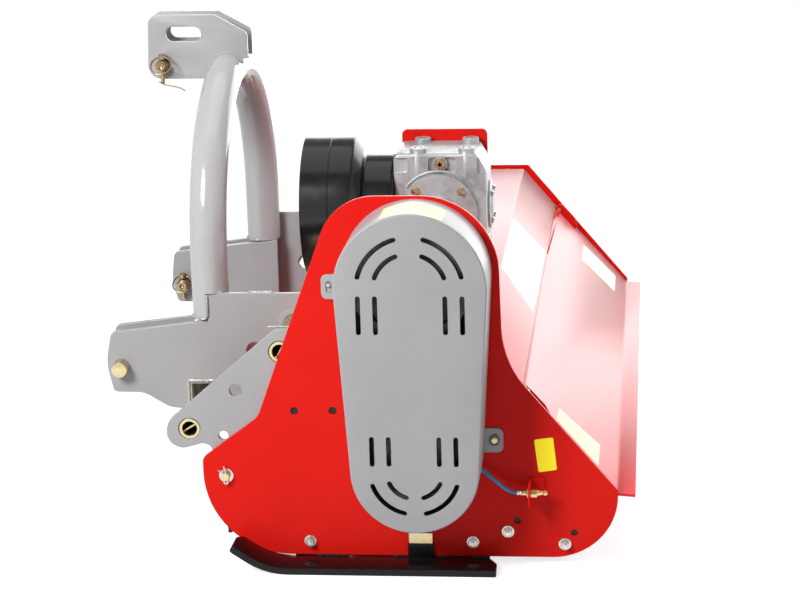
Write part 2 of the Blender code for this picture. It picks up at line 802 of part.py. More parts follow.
def build_hitch_plates():
    """Make the four plates that carry the lower-link pins, the outer ones with sleeves."""
    pin_hole = circle(LOWER_PIN_X, LOWER_PIN_Z, LOWER_PIN_R + RUNNING)
    sleeve_hole = circle(UPPER_SHAFT_X, UPPER_SHAFT_Z, SLEEVE_R - 0.005, ROUND)
    round_hole = circle(-0.361, 0.380, 0.017, 16)
    outer_loops = [outer_hitch_outline(), pin_hole, sleeve_hole, crossbar_hole(), round_hole]
    inner_loops = [inner_hitch_outline(), pin_hole, crossbar_hole()]
    outer_face = OUTER_PLATE_OFFSET
    inner_face = INNER_OFFSET
    plates = (
        ("near_outer_hitch_plate", outer_loops, HITCH_CENTRE_Y - outer_face),
        ("near_inner_hitch_plate", inner_loops, HITCH_CENTRE_Y - inner_face),
        ("far_inner_hitch_plate", inner_loops, HITCH_CENTRE_Y + inner_face - HITCH_PLATE),
        ("far_outer_hitch_plate", outer_loops, HITCH_CENTRE_Y + outer_face - HITCH_PLATE),
    )
    sleeve_starts = {
        "near_outer_hitch_plate": HITCH_CENTRE_Y - outer_face - 0.003,
        "far_outer_hitch_plate": HITCH_CENTRE_Y + outer_face + 0.003 - SLEEVE_LENGTH,
    }
    ring = [
        (SLEEVE_R, 0.0),
        (SLEEVE_R, SLEEVE_LENGTH),
        (GUIDE_R + RUNNING, SLEEVE_LENGTH),
        (GUIDE_R + RUNNING, 0.0),
    ]
    for name, loops, start in plates:
        plate = slab(name, loops, HITCH_PLATE, start)
        if name in sleeve_starts:
            seat = (UPPER_SHAFT_X, sleeve_starts[name], UPPER_SHAFT_Z)
            plate = add_to(plate, turned("sleeve", ring, seat, segments=ROUND))
        finish(plate, "grey")


def build_crossbar():
    """Make the square crossbar with the two bushes that slide on the lower shaft."""
    outer = CROSSBAR_SIZE / 2
    inner = outer - CROSSBAR_WALL
    x = LOWER_SHAFT_X
    z = LOWER_SHAFT_Z
    start = HITCH_CENTRE_Y - OUTER_PLATE_OFFSET - 0.001
    length = 2 * (OUTER_PLATE_OFFSET + 0.001)
    loops = [rectangle(x - outer, z - outer, x + outer, z + outer, 0.004)]
    loops.append(rectangle(x - inner, z - inner, x + inner, z + inner, 0.003))
    bar = slab("headstock_crossbar", loops, length, start)
    seat = inner + WELD_OVERLAP
    bush_loops = [rectangle(x - seat, z - seat, x + seat, z + seat)]
    bush_loops.append(circle(x, z, GUIDE_R + RUNNING, ROUND))
    bushes = []
    for bush_start in (start + 0.045, start + length - 0.045 - SLIDE_BUSH):
        bushes.append(slab("bush", bush_loops, SLIDE_BUSH, bush_start))
    bar = add_to(bar, *bushes)
    finish(bar, "grey")


def hoop_tube(name, radius):
    """Make a tube of this radius along the hoop's centre line."""
    foot = INNER_TOP_Z + GAP
    points = [(HOOP_X, HITCH_CENTRE_Y - HOOP_ARCH_R, foot)]
    for y, z in arc(HITCH_CENTRE_Y, HOOP_ARCH_Z, HOOP_ARCH_R, 180, 0, HOOP_STEPS):
        points.append((HOOP_X, y, z))
    points.append((HOOP_X, HITCH_CENTRE_Y + HOOP_ARCH_R, foot))
    return swept(name, points, radius, resolution=4)


def build_hoop():
    """Make the bent tube that rises from the hitch plates, notched over them."""
    hoop = hoop_tube("headstock_hoop", HOOP_TUBE_R)
    face = OUTER_PLATE_OFFSET - HITCH_PLATE - GAP
    notch_x = (NOTCH_X - GAP, HOOP_X + 2 * HOOP_TUBE_R)
    notch_z = (INNER_TOP_Z - 0.010, OUTER_TOP_Z + GAP)
    near_cut = block("near_notch", notch_x, (HITCH_CENTRE_Y - face - 0.060, HITCH_CENTRE_Y - face), notch_z)
    far_cut = block("far_notch", notch_x, (HITCH_CENTRE_Y + face, HITCH_CENTRE_Y + face + 0.060), notch_z)
    hoop = cut_from(hoop, near_cut, far_cut)
    finish(hoop, "grey")


def top_link_outline():
    """Return the outline of a top-link plate before the hoop is cut out of it."""
    return filleted([
        (-0.407, 0.930, 0.004),
        (-0.407, 0.986, 0.014),
        (-0.477, 1.025, 0.004),
        (-0.620, 1.025, 0.020),
        (-0.626, 0.888, 0.030),
        (HOOP_X - 0.020, 0.888, 0.0),
        (HOOP_X, 0.906, 0.0),
        (HOOP_X + 0.020, 0.930, 0.0),
    ])


def build_top_link_plates():
    """Make the two plates that take the top link."""
    slot = slot_outline([(-0.568, 0.984), (-0.522, 0.984)], 0.032, 5)
    loops = [top_link_outline(), slot, circle(TOP_PIN_X, TOP_PIN_Z, TOP_PIN_R + RUNNING)]
    near_start = HITCH_CENTRE_Y - TOP_GAP / 2 - TOP_PLATE
    far_start = HITCH_CENTRE_Y + TOP_GAP / 2
    for name, start in (("near_top_link_plate", near_start), ("far_top_link_plate", far_start)):
        plate = cut_from(slab(name, loops, TOP_PLATE, start), hoop_tube("hoop_seat", HOOP_TUBE_R + GAP))
        finish(plate, "grey")


def build_hitch_pin(name, x, z, radius, head_y, towards, grip, head_r, head_length):
    """Make a hitch pin: head outside, shank through the plates, cross hole in the tail.

    The head's seat is at head_y and the shank runs from there in the given direction.
    """
    shank = grip + PIN_TAIL
    profile = [
        (0.0, -head_length),
        (head_r - 0.002, -head_length),
        (head_r, -head_length + 0.002),
        (head_r, 0.0),
        (radius, 0.0),
        (radius, shank - 0.003),
        (radius - 0.003, shank),
        (0.0, shank),
    ]
    if towards < 0:
        profile = [(r, -along) for r, along in reversed(profile)]
    pin = turned(name, profile, (x, head_y, z), segments=16, closed=False)
    hole_y = head_y + towards * (grip + PIN_TAIL * 0.40)
    hole = turned("cross_hole", [
        (0.0, -2 * radius),
        (LYNCH_R + RUNNING, -2 * radius),
        (LYNCH_R + RUNNING, 2 * radius),
        (0.0, 2 * radius),
    ], (x, hole_y, z), axis="Z", segments=10, closed=False)
    pin = cut_from(pin, hole)
    set_origin(pin, (x, head_y, z))
    finish(pin, "zinc")
    return hole_y


def build_lynch_pin(name, x, y, z, pin_radius, tail):
    """Make a lynch pin in a hitch pin's cross hole, with its ring leaning over the pin's tail.

    The tail is 1 where the hitch pin's free end points to +Y, and -1 where it points to -Y.
    """
    top = pin_radius + GAP
    profile = [
        (0.0, top - LYNCH_LENGTH),
        (LYNCH_R * 0.7, top - LYNCH_LENGTH),
        (LYNCH_R, top - LYNCH_LENGTH + 0.003),
        (LYNCH_R, top),
        (LYNCH_R * 1.9, top),
        (LYNCH_R * 1.9, top + 0.012),
        (0.0, top + 0.012),
    ]
    pin = turned(name, profile, (x, y, z), axis="Z", segments=8, closed=False)
    drop = top + 0.006
    lean = math.radians(LYNCH_RING_LEAN_DEG)
    ring = []
    for angle_deg in range(0, 360, 30):
        angle = math.radians(angle_deg)
        reach = LYNCH_RING_R * (1 - math.cos(angle))
        side = LYNCH_RING_R * math.sin(angle)
        ring.append((x - side, y + tail * reach * math.cos(lean), z + drop - reach * math.sin(lean)))
    loop = swept("ring", ring, LYNCH_WIRE_R, cyclic=True, resolution=1)
    pin = add_to(pin, loop)
    set_origin(pin, (x, y, z))
    finish(pin, "zinc")


def build_pins():
    """Make the two lower-link pins, the top-link pin and their lynch pins."""
    grip = BALL_GAP + 2 * HITCH_PLATE
    near_y = HITCH_CENTRE_Y - OUTER_PLATE_OFFSET - GAP
    far_y = HITCH_CENTRE_Y + OUTER_PLATE_OFFSET + GAP
    lower = (LOWER_PIN_X, LOWER_PIN_Z, LOWER_PIN_R)
    head = (LOWER_PIN_HEAD_R, LOWER_PIN_HEAD)
    near_hole = build_hitch_pin("near_lower_pin", *lower, near_y, 1, grip + GAP, *head)
    far_hole = build_hitch_pin("far_lower_pin", *lower, far_y, -1, grip + GAP, *head)
    top_grip = TOP_GAP + 2 * TOP_PLATE
    top_y = HITCH_CENTRE_Y + TOP_GAP / 2 + TOP_PLATE + GAP
    top_hole = build_hitch_pin(
        "top_link_pin", TOP_PIN_X, TOP_PIN_Z, TOP_PIN_R, top_y, -1, top_grip + GAP, 0.019, 0.010)
    build_lynch_pin("near_lynch_pin", LOWER_PIN_X, near_hole, LOWER_PIN_Z, LOWER_PIN_R, 1)
    build_lynch_pin("far_lynch_pin", LOWER_PIN_X, far_hole, LOWER_PIN_Z, LOWER_PIN_R, -1)
    build_lynch_pin("top_lynch_pin", TOP_PIN_X, top_hole, TOP_PIN_Z, TOP_PIN_R, -1)


# Gearbox and power take-off

def build_gearbox():
    """Make the cast gearbox housing with its corner posts, chamber and bores."""
    y0 = GEARBOX_Y - GEARBOX_HALF_WIDTH
    y1 = GEARBOX_Y + GEARBOX_HALF_WIDTH
    foot = DECK_TOP_Z + GAP + GEARBOX_FOOT + GAP
    top_drop = 0.040
    side = filleted([
        (GEARBOX_FRONT_X, foot, 0.012),
        (GEARBOX_REAR_X, foot, 0.012),
        (GEARBOX_REAR_X, GEARBOX_TOP_Z - top_drop, 0.008),
        (GEARBOX_REAR_X - 0.022, GEARBOX_TOP_Z, 0.010),
        (GEARBOX_FRONT_X, GEARBOX_TOP_Z, 0.014),
    ], 4)
    housing = slab("gearbox_housing", [side], y1 - y0, y0)
    posts = []
    for x in (-0.044, 0.060):
        for y in (y0 + 0.020, y1 - 0.020):
            posts.append(turned("post", [
                (0.0, 0.0),
                (0.018, 0.0),
                (0.018, 0.050),
                (0.0, 0.050),
            ], (x, y, GEARBOX_TOP_Z + 0.014 - 0.050), axis="Z", segments=12, closed=False))
    housing = add_to(housing, *posts)
    chamber_x = (GEARBOX_FRONT_X + 0.024, GEARBOX_REAR_X - 0.024)
    chamber = block("chamber", chamber_x, (y0 + 0.020, y1 - 0.016), (foot + 0.020, GEARBOX_TOP_Z - 0.030))
    bore_r = SHAFT_R + GAP
    bore_length = 0.060
    start_x = GEARBOX_FRONT_X - 0.010
    input_bore = rod("input_bore", bore_r, start_x, bore_length, GEARBOX_Y, DRIVE_Z, "X", ROUND)
    output_bore = rod("output_bore", bore_r, y0 - 0.010, bore_length, 0.0, DRIVE_Z, "Y", ROUND)
    housing = cut_from(housing, chamber, input_bore, output_bore)
    finish(housing, "cast")


def build_gearbox_bracket():
    """Make the bent bracket under and behind the gearbox."""
    y1 = GEARBOX_Y + GEARBOX_HALF_WIDTH
    base_z = DECK_TOP_Z + GAP
    upright = filleted([
        (-0.092, base_z, 0.0),
        (0.095, base_z, 0.0),
        (0.095, 0.752, 0.012),
        (-0.092, 0.752, 0.012),
    ], 4)
    bracket = slab("gearbox_bracket", [upright], 0.008, y1 + GAP)
    base = block(
        "bracket_base", (-0.092, 0.095), (GEARBOX_Y - GEARBOX_HALF_WIDTH, y1 + 0.004),
        (base_z, base_z + GEARBOX_FOOT))
    bracket = add_to(bracket, base)
    finish(bracket, "red")


def build_shield():
    """Make the bell-shaped shield around the power take-off stub."""
    wall = SHIELD_WALL
    back = GEARBOX_FRONT_X - GAP
    profile = [
        (SHIELD_BELL_R, SHIELD_FRONT_X),
        (SHIELD_BELL_R, SHIELD_SHOULDER_X),
        (SHIELD_BELL_R - 0.010, SHIELD_SHOULDER_X + 0.012),
        (SHIELD_BELL_R - 0.026, SHIELD_NECK_X - 0.004),
        (SHIELD_NECK_R, SHIELD_NECK_X),
        (SHIELD_NECK_R, back - 0.008),
        (SHIELD_NECK_R - 0.008, back),
        (0.040, back),
        (0.040, back - 0.004),
        (SHIELD_NECK_R - wall, back - 0.004),
        (SHIELD_NECK_R - wall, SHIELD_NECK_X - wall),
        (SHIELD_BELL_R - 0.026 - wall, SHIELD_NECK_X - 0.004 - wall),
        (SHIELD_BELL_R - wall, SHIELD_SHOULDER_X - 0.001),
        (SHIELD_BELL_R - wall, SHIELD_FRONT_X),
    ]
    shield = turned("pto_shield", profile, (0.0, GEARBOX_Y, DRIVE_Z), axis="X", segments=24)
    flat_z = UPPER_SHAFT_Z + GUIDE_R + SHIELD_FLAT
    under = block(
        "shield_flat", (SHIELD_FRONT_X - 0.010, SHIELD_NECK_X), (GEARBOX_Y - 0.150, GEARBOX_Y + 0.150),
        (DRIVE_Z - SHIELD_BELL_R - 0.010, flat_z))
    shield = cut_from(shield, under)
    finish(shield, "black_plastic")


def gear_outline(tip_r, root_r, teeth):
    """Return a toothed round outline about the origin."""
    points = []
    step = 2 * math.pi / teeth
    for index in range(teeth):
        angle = index * step
        for share, radius in ((0.0, root_r), (0.22, tip_r), (0.50, tip_r), (0.72, root_r)):
            points.append((radius * math.cos(angle + share * step), radius * math.sin(angle + share * step)))
    return points


def build_shafts():
    """Make the power take-off stub, the cross shaft and the tube around it."""
    front = SHIELD_FRONT_X + 0.045
    tip = -0.026
    profile = [
        (0.0, front),
        (SHAFT_R - 0.002, front),
        (SHAFT_R, front + 0.003),
        (SHAFT_R, tip - 0.022),
        (0.052, tip - 0.022),
        (0.046, tip - 0.006),
        (0.0, tip - 0.006),
    ]
    stub = turned("input_shaft", profile, (0.0, GEARBOX_Y, DRIVE_Z), axis="X", closed=False)
    grooves = []
    for index in range(SPLINE_COUNT):
        angle = 2 * math.pi * index / SPLINE_COUNT
        y = GEARBOX_Y + (SHAFT_R + 0.0015) * math.cos(angle)
        z = DRIVE_Z + (SHAFT_R + 0.0015) * math.sin(angle)
        grooves.append(rod("spline_groove", 0.004, front - 0.010, 0.085, y, z, "X", 6))
    stub = cut_from(stub, *grooves)
    set_origin(stub, (0.0, GEARBOX_Y, DRIVE_Z))
    finish(stub, "steel")
    start = PULLEY_Y - 0.006
    pinion_r = 0.018
    end = GEARBOX_Y - GEARBOX_HALF_WIDTH + 0.038
    cross = turned("cross_shaft", [
        (0.0, start),
        (SHAFT_R - 0.002, start),
        (SHAFT_R, start + 0.002),
        (SHAFT_R, end - 0.016),
        (pinion_r, end - 0.012),
        (pinion_r - 0.004, end),
        (0.0, end),
    ], (0.0, 0.0, DRIVE_Z), closed=False)
    set_origin(cross, (0.0, 0.0, DRIVE_Z))
    finish(cross, "steel")
    tube_end = GEARBOX_Y - GEARBOX_HALF_WIDTH - GAP
    seat = 0.024
    bore = SHAFT_R + GAP
    tube = turned("cross_shaft_tube", [
        (0.070, NEAR_INNER_Y + GAP),
        (0.070, NEAR_INNER_Y + 0.012),
        (0.029, NEAR_INNER_Y + 0.014),
        (0.029, tube_end - 0.012),
        (0.082, tube_end - 0.010),
        (0.082, tube_end),
        (bore, tube_end),
        (bore, tube_end - seat),
        (0.024, tube_end - seat),
        (0.024, NEAR_INNER_Y + seat),
        (bore, NEAR_INNER_Y + seat),
        (bore, NEAR_INNER_Y + GAP),
    ], (0.0, 0.0, DRIVE_Z), segments=ROUND)
    finish(tube, "cast")


# Belt drive

def groove_starts():
    """Return where each belt groove starts along the pulleys."""
    first = PULLEY_Y + (PULLEY_WIDTH - BELT_PITCH * (BELT_COUNT - 1) - BELT_WIDTH) / 2
    return [first + BELT_PITCH * index for index in range(BELT_COUNT)]


def build_pulley(name, radius, z, bore, key):
    """Make a grooved pulley that sits on its shaft."""
    profile = [(radius, PULLEY_Y)]
    for start in groove_starts():
        profile.extend([
            (radius, start - RUNNING - 0.0015),
            (radius - GROOVE_DEPTH, start - RUNNING),
            (radius - GROOVE_DEPTH, start + BELT_WIDTH + RUNNING),
            (radius, start + BELT_WIDTH + RUNNING + 0.0015),
        ])
    web = 0.010
    profile.extend([
        (radius, PULLEY_Y + PULLEY_WIDTH),
        (bore + RUNNING, PULLEY_Y + PULLEY_WIDTH),
        (bore + RUNNING, PULLEY_Y),
        (bore + key, PULLEY_Y),
        (bore + key + 0.002, PULLEY_Y + web),
        (radius - GROOVE_DEPTH - 0.010, PULLEY_Y + web),
        (radius - GROOVE_DEPTH - 0.008, PULLEY_Y),
    ])
    pulley = turned(name, profile, (0.0, 0.0, z), segments=16)
    set_origin(pulley, (0.0, 0.0, z))
    finish(pulley, "forged")


def build_belts():
    """Make the V-belts that join the two pulleys."""
    inner_drop = GROOVE_DEPTH - BELT_SEAT
    for index, start in enumerate(groove_starts()):
        inner = belt_outline(UPPER_PULLEY_R - inner_drop, LOWER_PULLEY_R - inner_drop)
        outer = belt_outline(
            UPPER_PULLEY_R - inner_drop + BELT_THICKNESS, LOWER_PULLEY_R - inner_drop + BELT_THICKNESS)
        belt = slab(f"drive_belt_{index + 1}", [outer, inner], BELT_WIDTH, start)
        finish(belt, "rubber")


def cover_slots():
    """Return the vent slots of the belt cover as closed outlines."""
    slots = []
    for radius, first, last in ((0.1015, 14.5, 74.0), (0.070, 20.0, 69.0)):
        for start_deg, end_deg in ((first, last), (180 - last, 180 - first)):
            path = arc(0.0, COVER_UPPER_Z, radius, start_deg, end_deg, 4)
            slots.append(slot_outline(path, SLOT_WIDTH))
    for radius, first, last in ((0.086, 19.0, 76.0), (0.054, 25.0, 72.0)):
        for start_deg, end_deg in ((360 - last, 360 - first), (180 + first, 180 + last)):
            path = arc(0.0, COVER_LOWER_Z, radius, start_deg, end_deg, 4)
            slots.append(slot_outline(path, SLOT_WIDTH))
    for x in (-0.099, -0.0665, 0.0665, 0.099):
        slots.append(slot_outline([(x, 0.517), (x, 0.584)], SLOT_WIDTH))
    for x in (-0.081, -0.0485, 0.0485, 0.081):
        slots.append(slot_outline([(x, 0.254), (x, 0.305)], SLOT_WIDTH))
    return slots


def build_belt_cover():
    """Make the pressed cover over the belt drive, with vent slots and side tabs."""
    sheet = COVER_SHEET
    outer = belt_outline(COVER_UPPER_R, COVER_LOWER_R, COVER_UPPER_Z, COVER_LOWER_Z, 18)
    inner = belt_outline(COVER_UPPER_R - sheet, COVER_LOWER_R - sheet, COVER_UPPER_Z, COVER_LOWER_Z, 18)
    cover = slab("belt_cover", [outer], -COVER_FACE_Y - GAP, COVER_FACE_Y)
    tab_start = -GAP - sheet
    left_tab = slab("left_tab", [rectangle(-0.187, 0.547, -0.130, 0.597, 0.012, 2)], sheet, tab_start)
    right_tab = slab("right_tab", [rectangle(0.110, 0.235, 0.163, 0.285, 0.012, 2)], sheet, tab_start)
    cover = add_to(cover, left_tab, right_tab)
    hollow = slab("hollow", [inner], -COVER_FACE_Y, COVER_FACE_Y + sheet)
    slots = [slab("slot", [loop], 0.010, COVER_FACE_Y - 0.004) for loop in cover_slots()]
    holes = []
    for x, z in ((-0.172, 0.566), (0.147, 0.256)):
        loop = slot_outline([(x, z), (x, z + TAB_SLOT_LENGTH)], TAB_SLOT_WIDTH)
        holes.append(slab("tab_slot", [loop], 0.012, -0.010))
    hose_hole = rod("hose_hole", HOSE_R + HOSE_CLEARANCE, 0.090, 0.060, HOSE_Y, HOSE_EXIT_Z, "X", 10)
    cover = cut_from(cover, hollow, joined("slots", slots), joined("tab_slots", holes), hose_hole)
    finish(cover, "grey")


# Rotor, hammers and bearings

def build_bearings():
    """Make the flanged bearing housings of the rotor."""
    bore = ROTOR_STUB_R + GAP
    for name, start, outward in (
        ("near_rotor_bearing", -GAP, -1),
        ("far_rotor_bearing", FAR_FACE_Y + GAP, 1),
    ):
        depth = outward * BEARING_DEPTH
        flange = outward * 0.012
        profile = [
            (BEARING_R, 0.0),
            (BEARING_R, flange),
            (0.042, flange * 1.3),
            (0.040, depth),
            (bore, depth),
            (bore, 0.0),
        ]
        if outward < 0:
            profile = profile[::-1]
        bearing = turned(name, profile, (0.0, start, ROTOR_Z), segments=24)
        finish(bearing, "cast")


def hammer_angle(index):
    """Return the angle of a hammer's lug around the rotor, from -180 to 180 degrees."""
    turn = math.radians(HAMMER_PHASE_DEG + HAMMER_STEP_DEG * index)
    return (turn + math.pi) % (2 * math.pi) - math.pi


def hammer_lean(index):
    """Return the angle at which a hammer hangs, or leans on its lugs, from the vertical."""
    radial = hammer_angle(index)
    swing = (math.pi - radial + math.pi) % (2 * math.pi) - math.pi
    limit = math.radians(HAMMER_SWING_DEG)
    return radial + max(-limit, min(limit, swing))


def hollow_roll(item, name, radius, start, end, x, z):
    """Hollow a closed roll out between its end discs and vent both discs."""
    length = end - start - 2 * END_DISC
    cavity = rod(f"{name}_cavity", radius - TUBE_WALL, start + END_DISC, length, x, z, segments=ROUND)
    vent_z = z + radius * 0.6
    vent = rod(f"{name}_vent", DISC_VENT_R, start - 0.010, end - start + 0.020, x, vent_z, segments=6)
    return cut_from(cut_from(item, cavity), vent)


def hammer_pivot(index):
    """Return the design coordinates of a hammer's pivot."""
    angle = hammer_angle(index)
    x = HAMMER_PIVOT_R * math.sin(angle)
    z = ROTOR_Z + HAMMER_PIVOT_R * math.cos(angle)
    return Vector((x, HAMMER_FIRST_Y + HAMMER_SPACING * index, z))


def build_rotor():
    """Make the rotor tube with its stub shafts, lugs and hammer pins."""
    tube_start = NEAR_INNER_Y + 0.014
    tube_end = FAR_INNER_Y - 0.014
    stub_start = PULLEY_Y - 0.006
    stub_end = FAR_FACE_Y + BEARING_DEPTH + 0.002
    rotor = turned("rotor", [
        (0.0, stub_start),
        (ROTOR_STUB_R, stub_start),
        (ROTOR_STUB_R, tube_start),
        (ROTOR_TUBE_R, tube_start + 0.002),
        (ROTOR_TUBE_R, tube_end - 0.002),
        (ROTOR_STUB_R, tube_end),
        (ROTOR_STUB_R, stub_end),
        (0.0, stub_end),
    ], (0.0, 0.0, ROTOR_Z), segments=ROUND, closed=False)
    lugs = []
    pins = []
    lug_inner = HAMMER_EYE_WIDTH / 2 + RUNNING
    for index in range(HAMMER_COUNT):
        pivot = hammer_pivot(index)
        angle = hammer_angle(index)
        outline = [
            (-0.026, ROTOR_TUBE_R - 0.008),
            (0.026, ROTOR_TUBE_R - 0.008),
            (0.016, HAMMER_PIVOT_R + 0.006),
            (0.008, HAMMER_PIVOT_R + 0.015),
            (-0.008, HAMMER_PIVOT_R + 0.015),
            (-0.016, HAMMER_PIVOT_R + 0.006),
        ]
        spun = []
        for x, z in outline:
            spun.append((
                x * math.cos(angle) + z * math.sin(angle),
                ROTOR_Z - x * math.sin(angle) + z * math.cos(angle)))
        for start in (pivot.y - lug_inner - LUG_THICKNESS, pivot.y + lug_inner):
            lugs.append(slab("lug", [spun], LUG_THICKNESS, start))
        reach = lug_inner + LUG_THICKNESS + 0.007
        pins.append(rod("pin", HAMMER_PIN_R, pivot.y - reach, 2 * reach, pivot.x, pivot.z, segments=6))
    rotor = add_to(rotor, joined("lugs", lugs), joined("pins", pins))
    rotor = hollow_roll(rotor, "rotor", ROTOR_TUBE_R, tube_start, tube_end, 0.0, ROTOR_Z)
    set_origin(rotor, (0.0, 0.0, ROTOR_Z))
    finish(rotor, "forged")


def build_hammers():
    """Make the swinging hammers, each with its origin on its pin."""
    neck = [
        (0.009, -0.016),
        (0.017, -0.006),
        (0.014, HAMMER_REACH - HAMMER_HEAD_HEIGHT + 0.006),
        (-0.014, HAMMER_REACH - HAMMER_HEAD_HEIGHT + 0.006),
        (-0.017, -0.006),
        (-0.009, -0.016),
    ]
    low = HAMMER_REACH - HAMMER_HEAD_HEIGHT
    half = HAMMER_HEAD_THICKNESS / 2
    head_outline = [(half, low + 0.006), (half, HAMMER_REACH), (-half, HAMMER_REACH)]
    head_outline.extend([(-half, low + 0.006), (-half + 0.006, low), (half - 0.006, low)])
    for index in range(HAMMER_COUNT):
        name = f"hammer_{index + 1}"
        bore = circle(0.0, 0.0, HAMMER_PIN_R + RUNNING, 10)
        hammer = slab(name, [neck, bore], HAMMER_EYE_WIDTH, -HAMMER_EYE_WIDTH / 2)
        head = slab("head", [head_outline], HAMMER_WIDTH, -HAMMER_WIDTH / 2)
        hammer = add_to(hammer, head)
        set_origin(hammer, (0.0, 0.0, 0.0))
        hammer.rotation_euler = (0.0, hammer_lean(index), 0.0)
        place(hammer, hammer_pivot(index))
        finish(hammer, "forged")


# Roller

def build_roller():
    """Make the rear roller and the brackets that carry it."""
    bore = ROLLER_AXLE_R + GAP
    loops = [
        filleted([
            (0.140, 0.046, 0.010),
            (0.300, 0.020, 0.020),
            (0.312, 0.078, 0.026),
            (0.148, 0.108, 0.014),
        ], 4),
        circle(ROLLER_X, ROLLER_Z, bore),
    ]
    boss_r = 0.026
    near_start = NEAR_INNER_Y + GAP
    far_start = FAR_INNER_Y - GAP - ROLLER_BRACKET
    for name, start, boss_start in (
        ("near_roller_bracket", near_start, near_start + ROLLER_BRACKET - WELD_OVERLAP),
        ("far_roller_bracket", far_start, far_start + WELD_OVERLAP - ROLLER_BOSS),
    ):
        bracket = slab(name, loops, ROLLER_BRACKET, start)
        boss_loops = [circle(ROLLER_X, ROLLER_Z, boss_r), circle(ROLLER_X, ROLLER_Z, bore + 0.0005)]
        boss = slab("boss", boss_loops, ROLLER_BOSS, boss_start)
        bracket = add_to(bracket, boss)
        finish(bracket, "red")
    inset = GAP + ROLLER_BRACKET + ROLLER_BOSS - WELD_OVERLAP + ROLLER_END_GAP
    start = NEAR_INNER_Y + inset
    end = FAR_INNER_Y - inset
    reach = ROLLER_END_GAP + ROLLER_BOSS + ROLLER_BRACKET - 0.002
    roller = turned("rear_roller", [
        (0.0, start - reach),
        (ROLLER_AXLE_R, start - reach),
        (ROLLER_AXLE_R, start),
        (ROLLER_R - 0.003, start),
        (ROLLER_R, start + 0.003),
        (ROLLER_R, end - 0.003),
        (ROLLER_R - 0.003, end),
        (ROLLER_AXLE_R, end),
        (ROLLER_AXLE_R, end + reach),
        (0.0, end + reach),
    ], (ROLLER_X, 0.0, ROLLER_Z), segments=24, closed=False)
    roller = hollow_roll(roller, "roller", ROLLER_R, start, end, ROLLER_X, ROLLER_Z)
    set_origin(roller, (ROLLER_X, 0.0, ROLLER_Z))
    finish(roller, "black_gloss")


# Front flaps

def build_flaps():
    """Make the rod across the front and the slitted flaps that hang on it."""
    flap_rod = rod(
        "flap_rod", FLAP_ROD_R, -0.014, BODY_WIDTH + 0.028, FLAP_ROD_X, FLAP_ROD_Z, segments=12)
    finish(flap_rod, "zinc")
    for index in range(FLAP_COUNT):
        start = NEAR_INNER_Y + FLAP_PITCH * index + FLAP_SIDE_GAP / 2
        width = FLAP_PITCH - FLAP_SIDE_GAP
        tongue = width / FLAP_TONGUES
        top = FLAP_ROD_Z - FLAP_BARREL_R + 0.003
        outline = [(start, top), (start, FLAP_FOOT_Z)]
        for slit in range(1, FLAP_TONGUES):
            y = start + tongue * slit
            outline.extend([
                (y - FLAP_SLIT / 2, FLAP_FOOT_Z),
                (y - FLAP_SLIT / 2, top - 0.012),
                (y + FLAP_SLIT / 2, top - 0.012),
                (y + FLAP_SLIT / 2, FLAP_FOOT_Z),
            ])
        outline.extend([(start + width, FLAP_FOOT_Z), (start + width, top)])
        front_x = FLAP_ROD_X - FLAP_THICKNESS / 2
        flap = slab(f"front_flap_{index + 1}", [outline], FLAP_THICKNESS, front_x, axis="X")
        barrel_start = start + FLAP_BARREL_INSET
        barrel_end = start + width - FLAP_BARREL_INSET
        barrel_ring = [
            (FLAP_BARREL_R, barrel_start),
            (FLAP_BARREL_R, barrel_end),
            (FLAP_ROD_R + RUNNING, barrel_end),
            (FLAP_ROD_R + RUNNING, barrel_start),
        ]
        barrel = turned("barrel", barrel_ring, (FLAP_ROD_X, 0.0, FLAP_ROD_Z), segments=12)
        flap = add_to(flap, barrel)
        set_origin(flap, (FLAP_ROD_X, start + width / 2, FLAP_ROD_Z))
        finish(flap, "black_gloss")


# Grease hose

def hose_points():
    """Return the hose's route from the bearing to the nipple."""
    return [
        (BEARING_NIPPLE_X + GAP, HOSE_Y, 0.244),
        (0.082, HOSE_Y, 0.234),
        (0.106, HOSE_Y, HOSE_EXIT_Z + 0.001),
        (0.126, HOSE_Y, HOSE_EXIT_Z - 0.002),
        (0.140, HOSE_Y - 0.004, 0.192),
        (0.156, HOSE_Y - 0.007, 0.1795),
        (0.168, HOSE_Y - 0.007, 0.1695),
        (0.180, HOSE_Y - 0.007, 0.1635),
        (0.190, HOSE_Y - 0.007, NIPPLE_Z),
        (HOSE_FIN_X - 0.0135, HOSE_Y - 0.007, NIPPLE_Z),
    ]


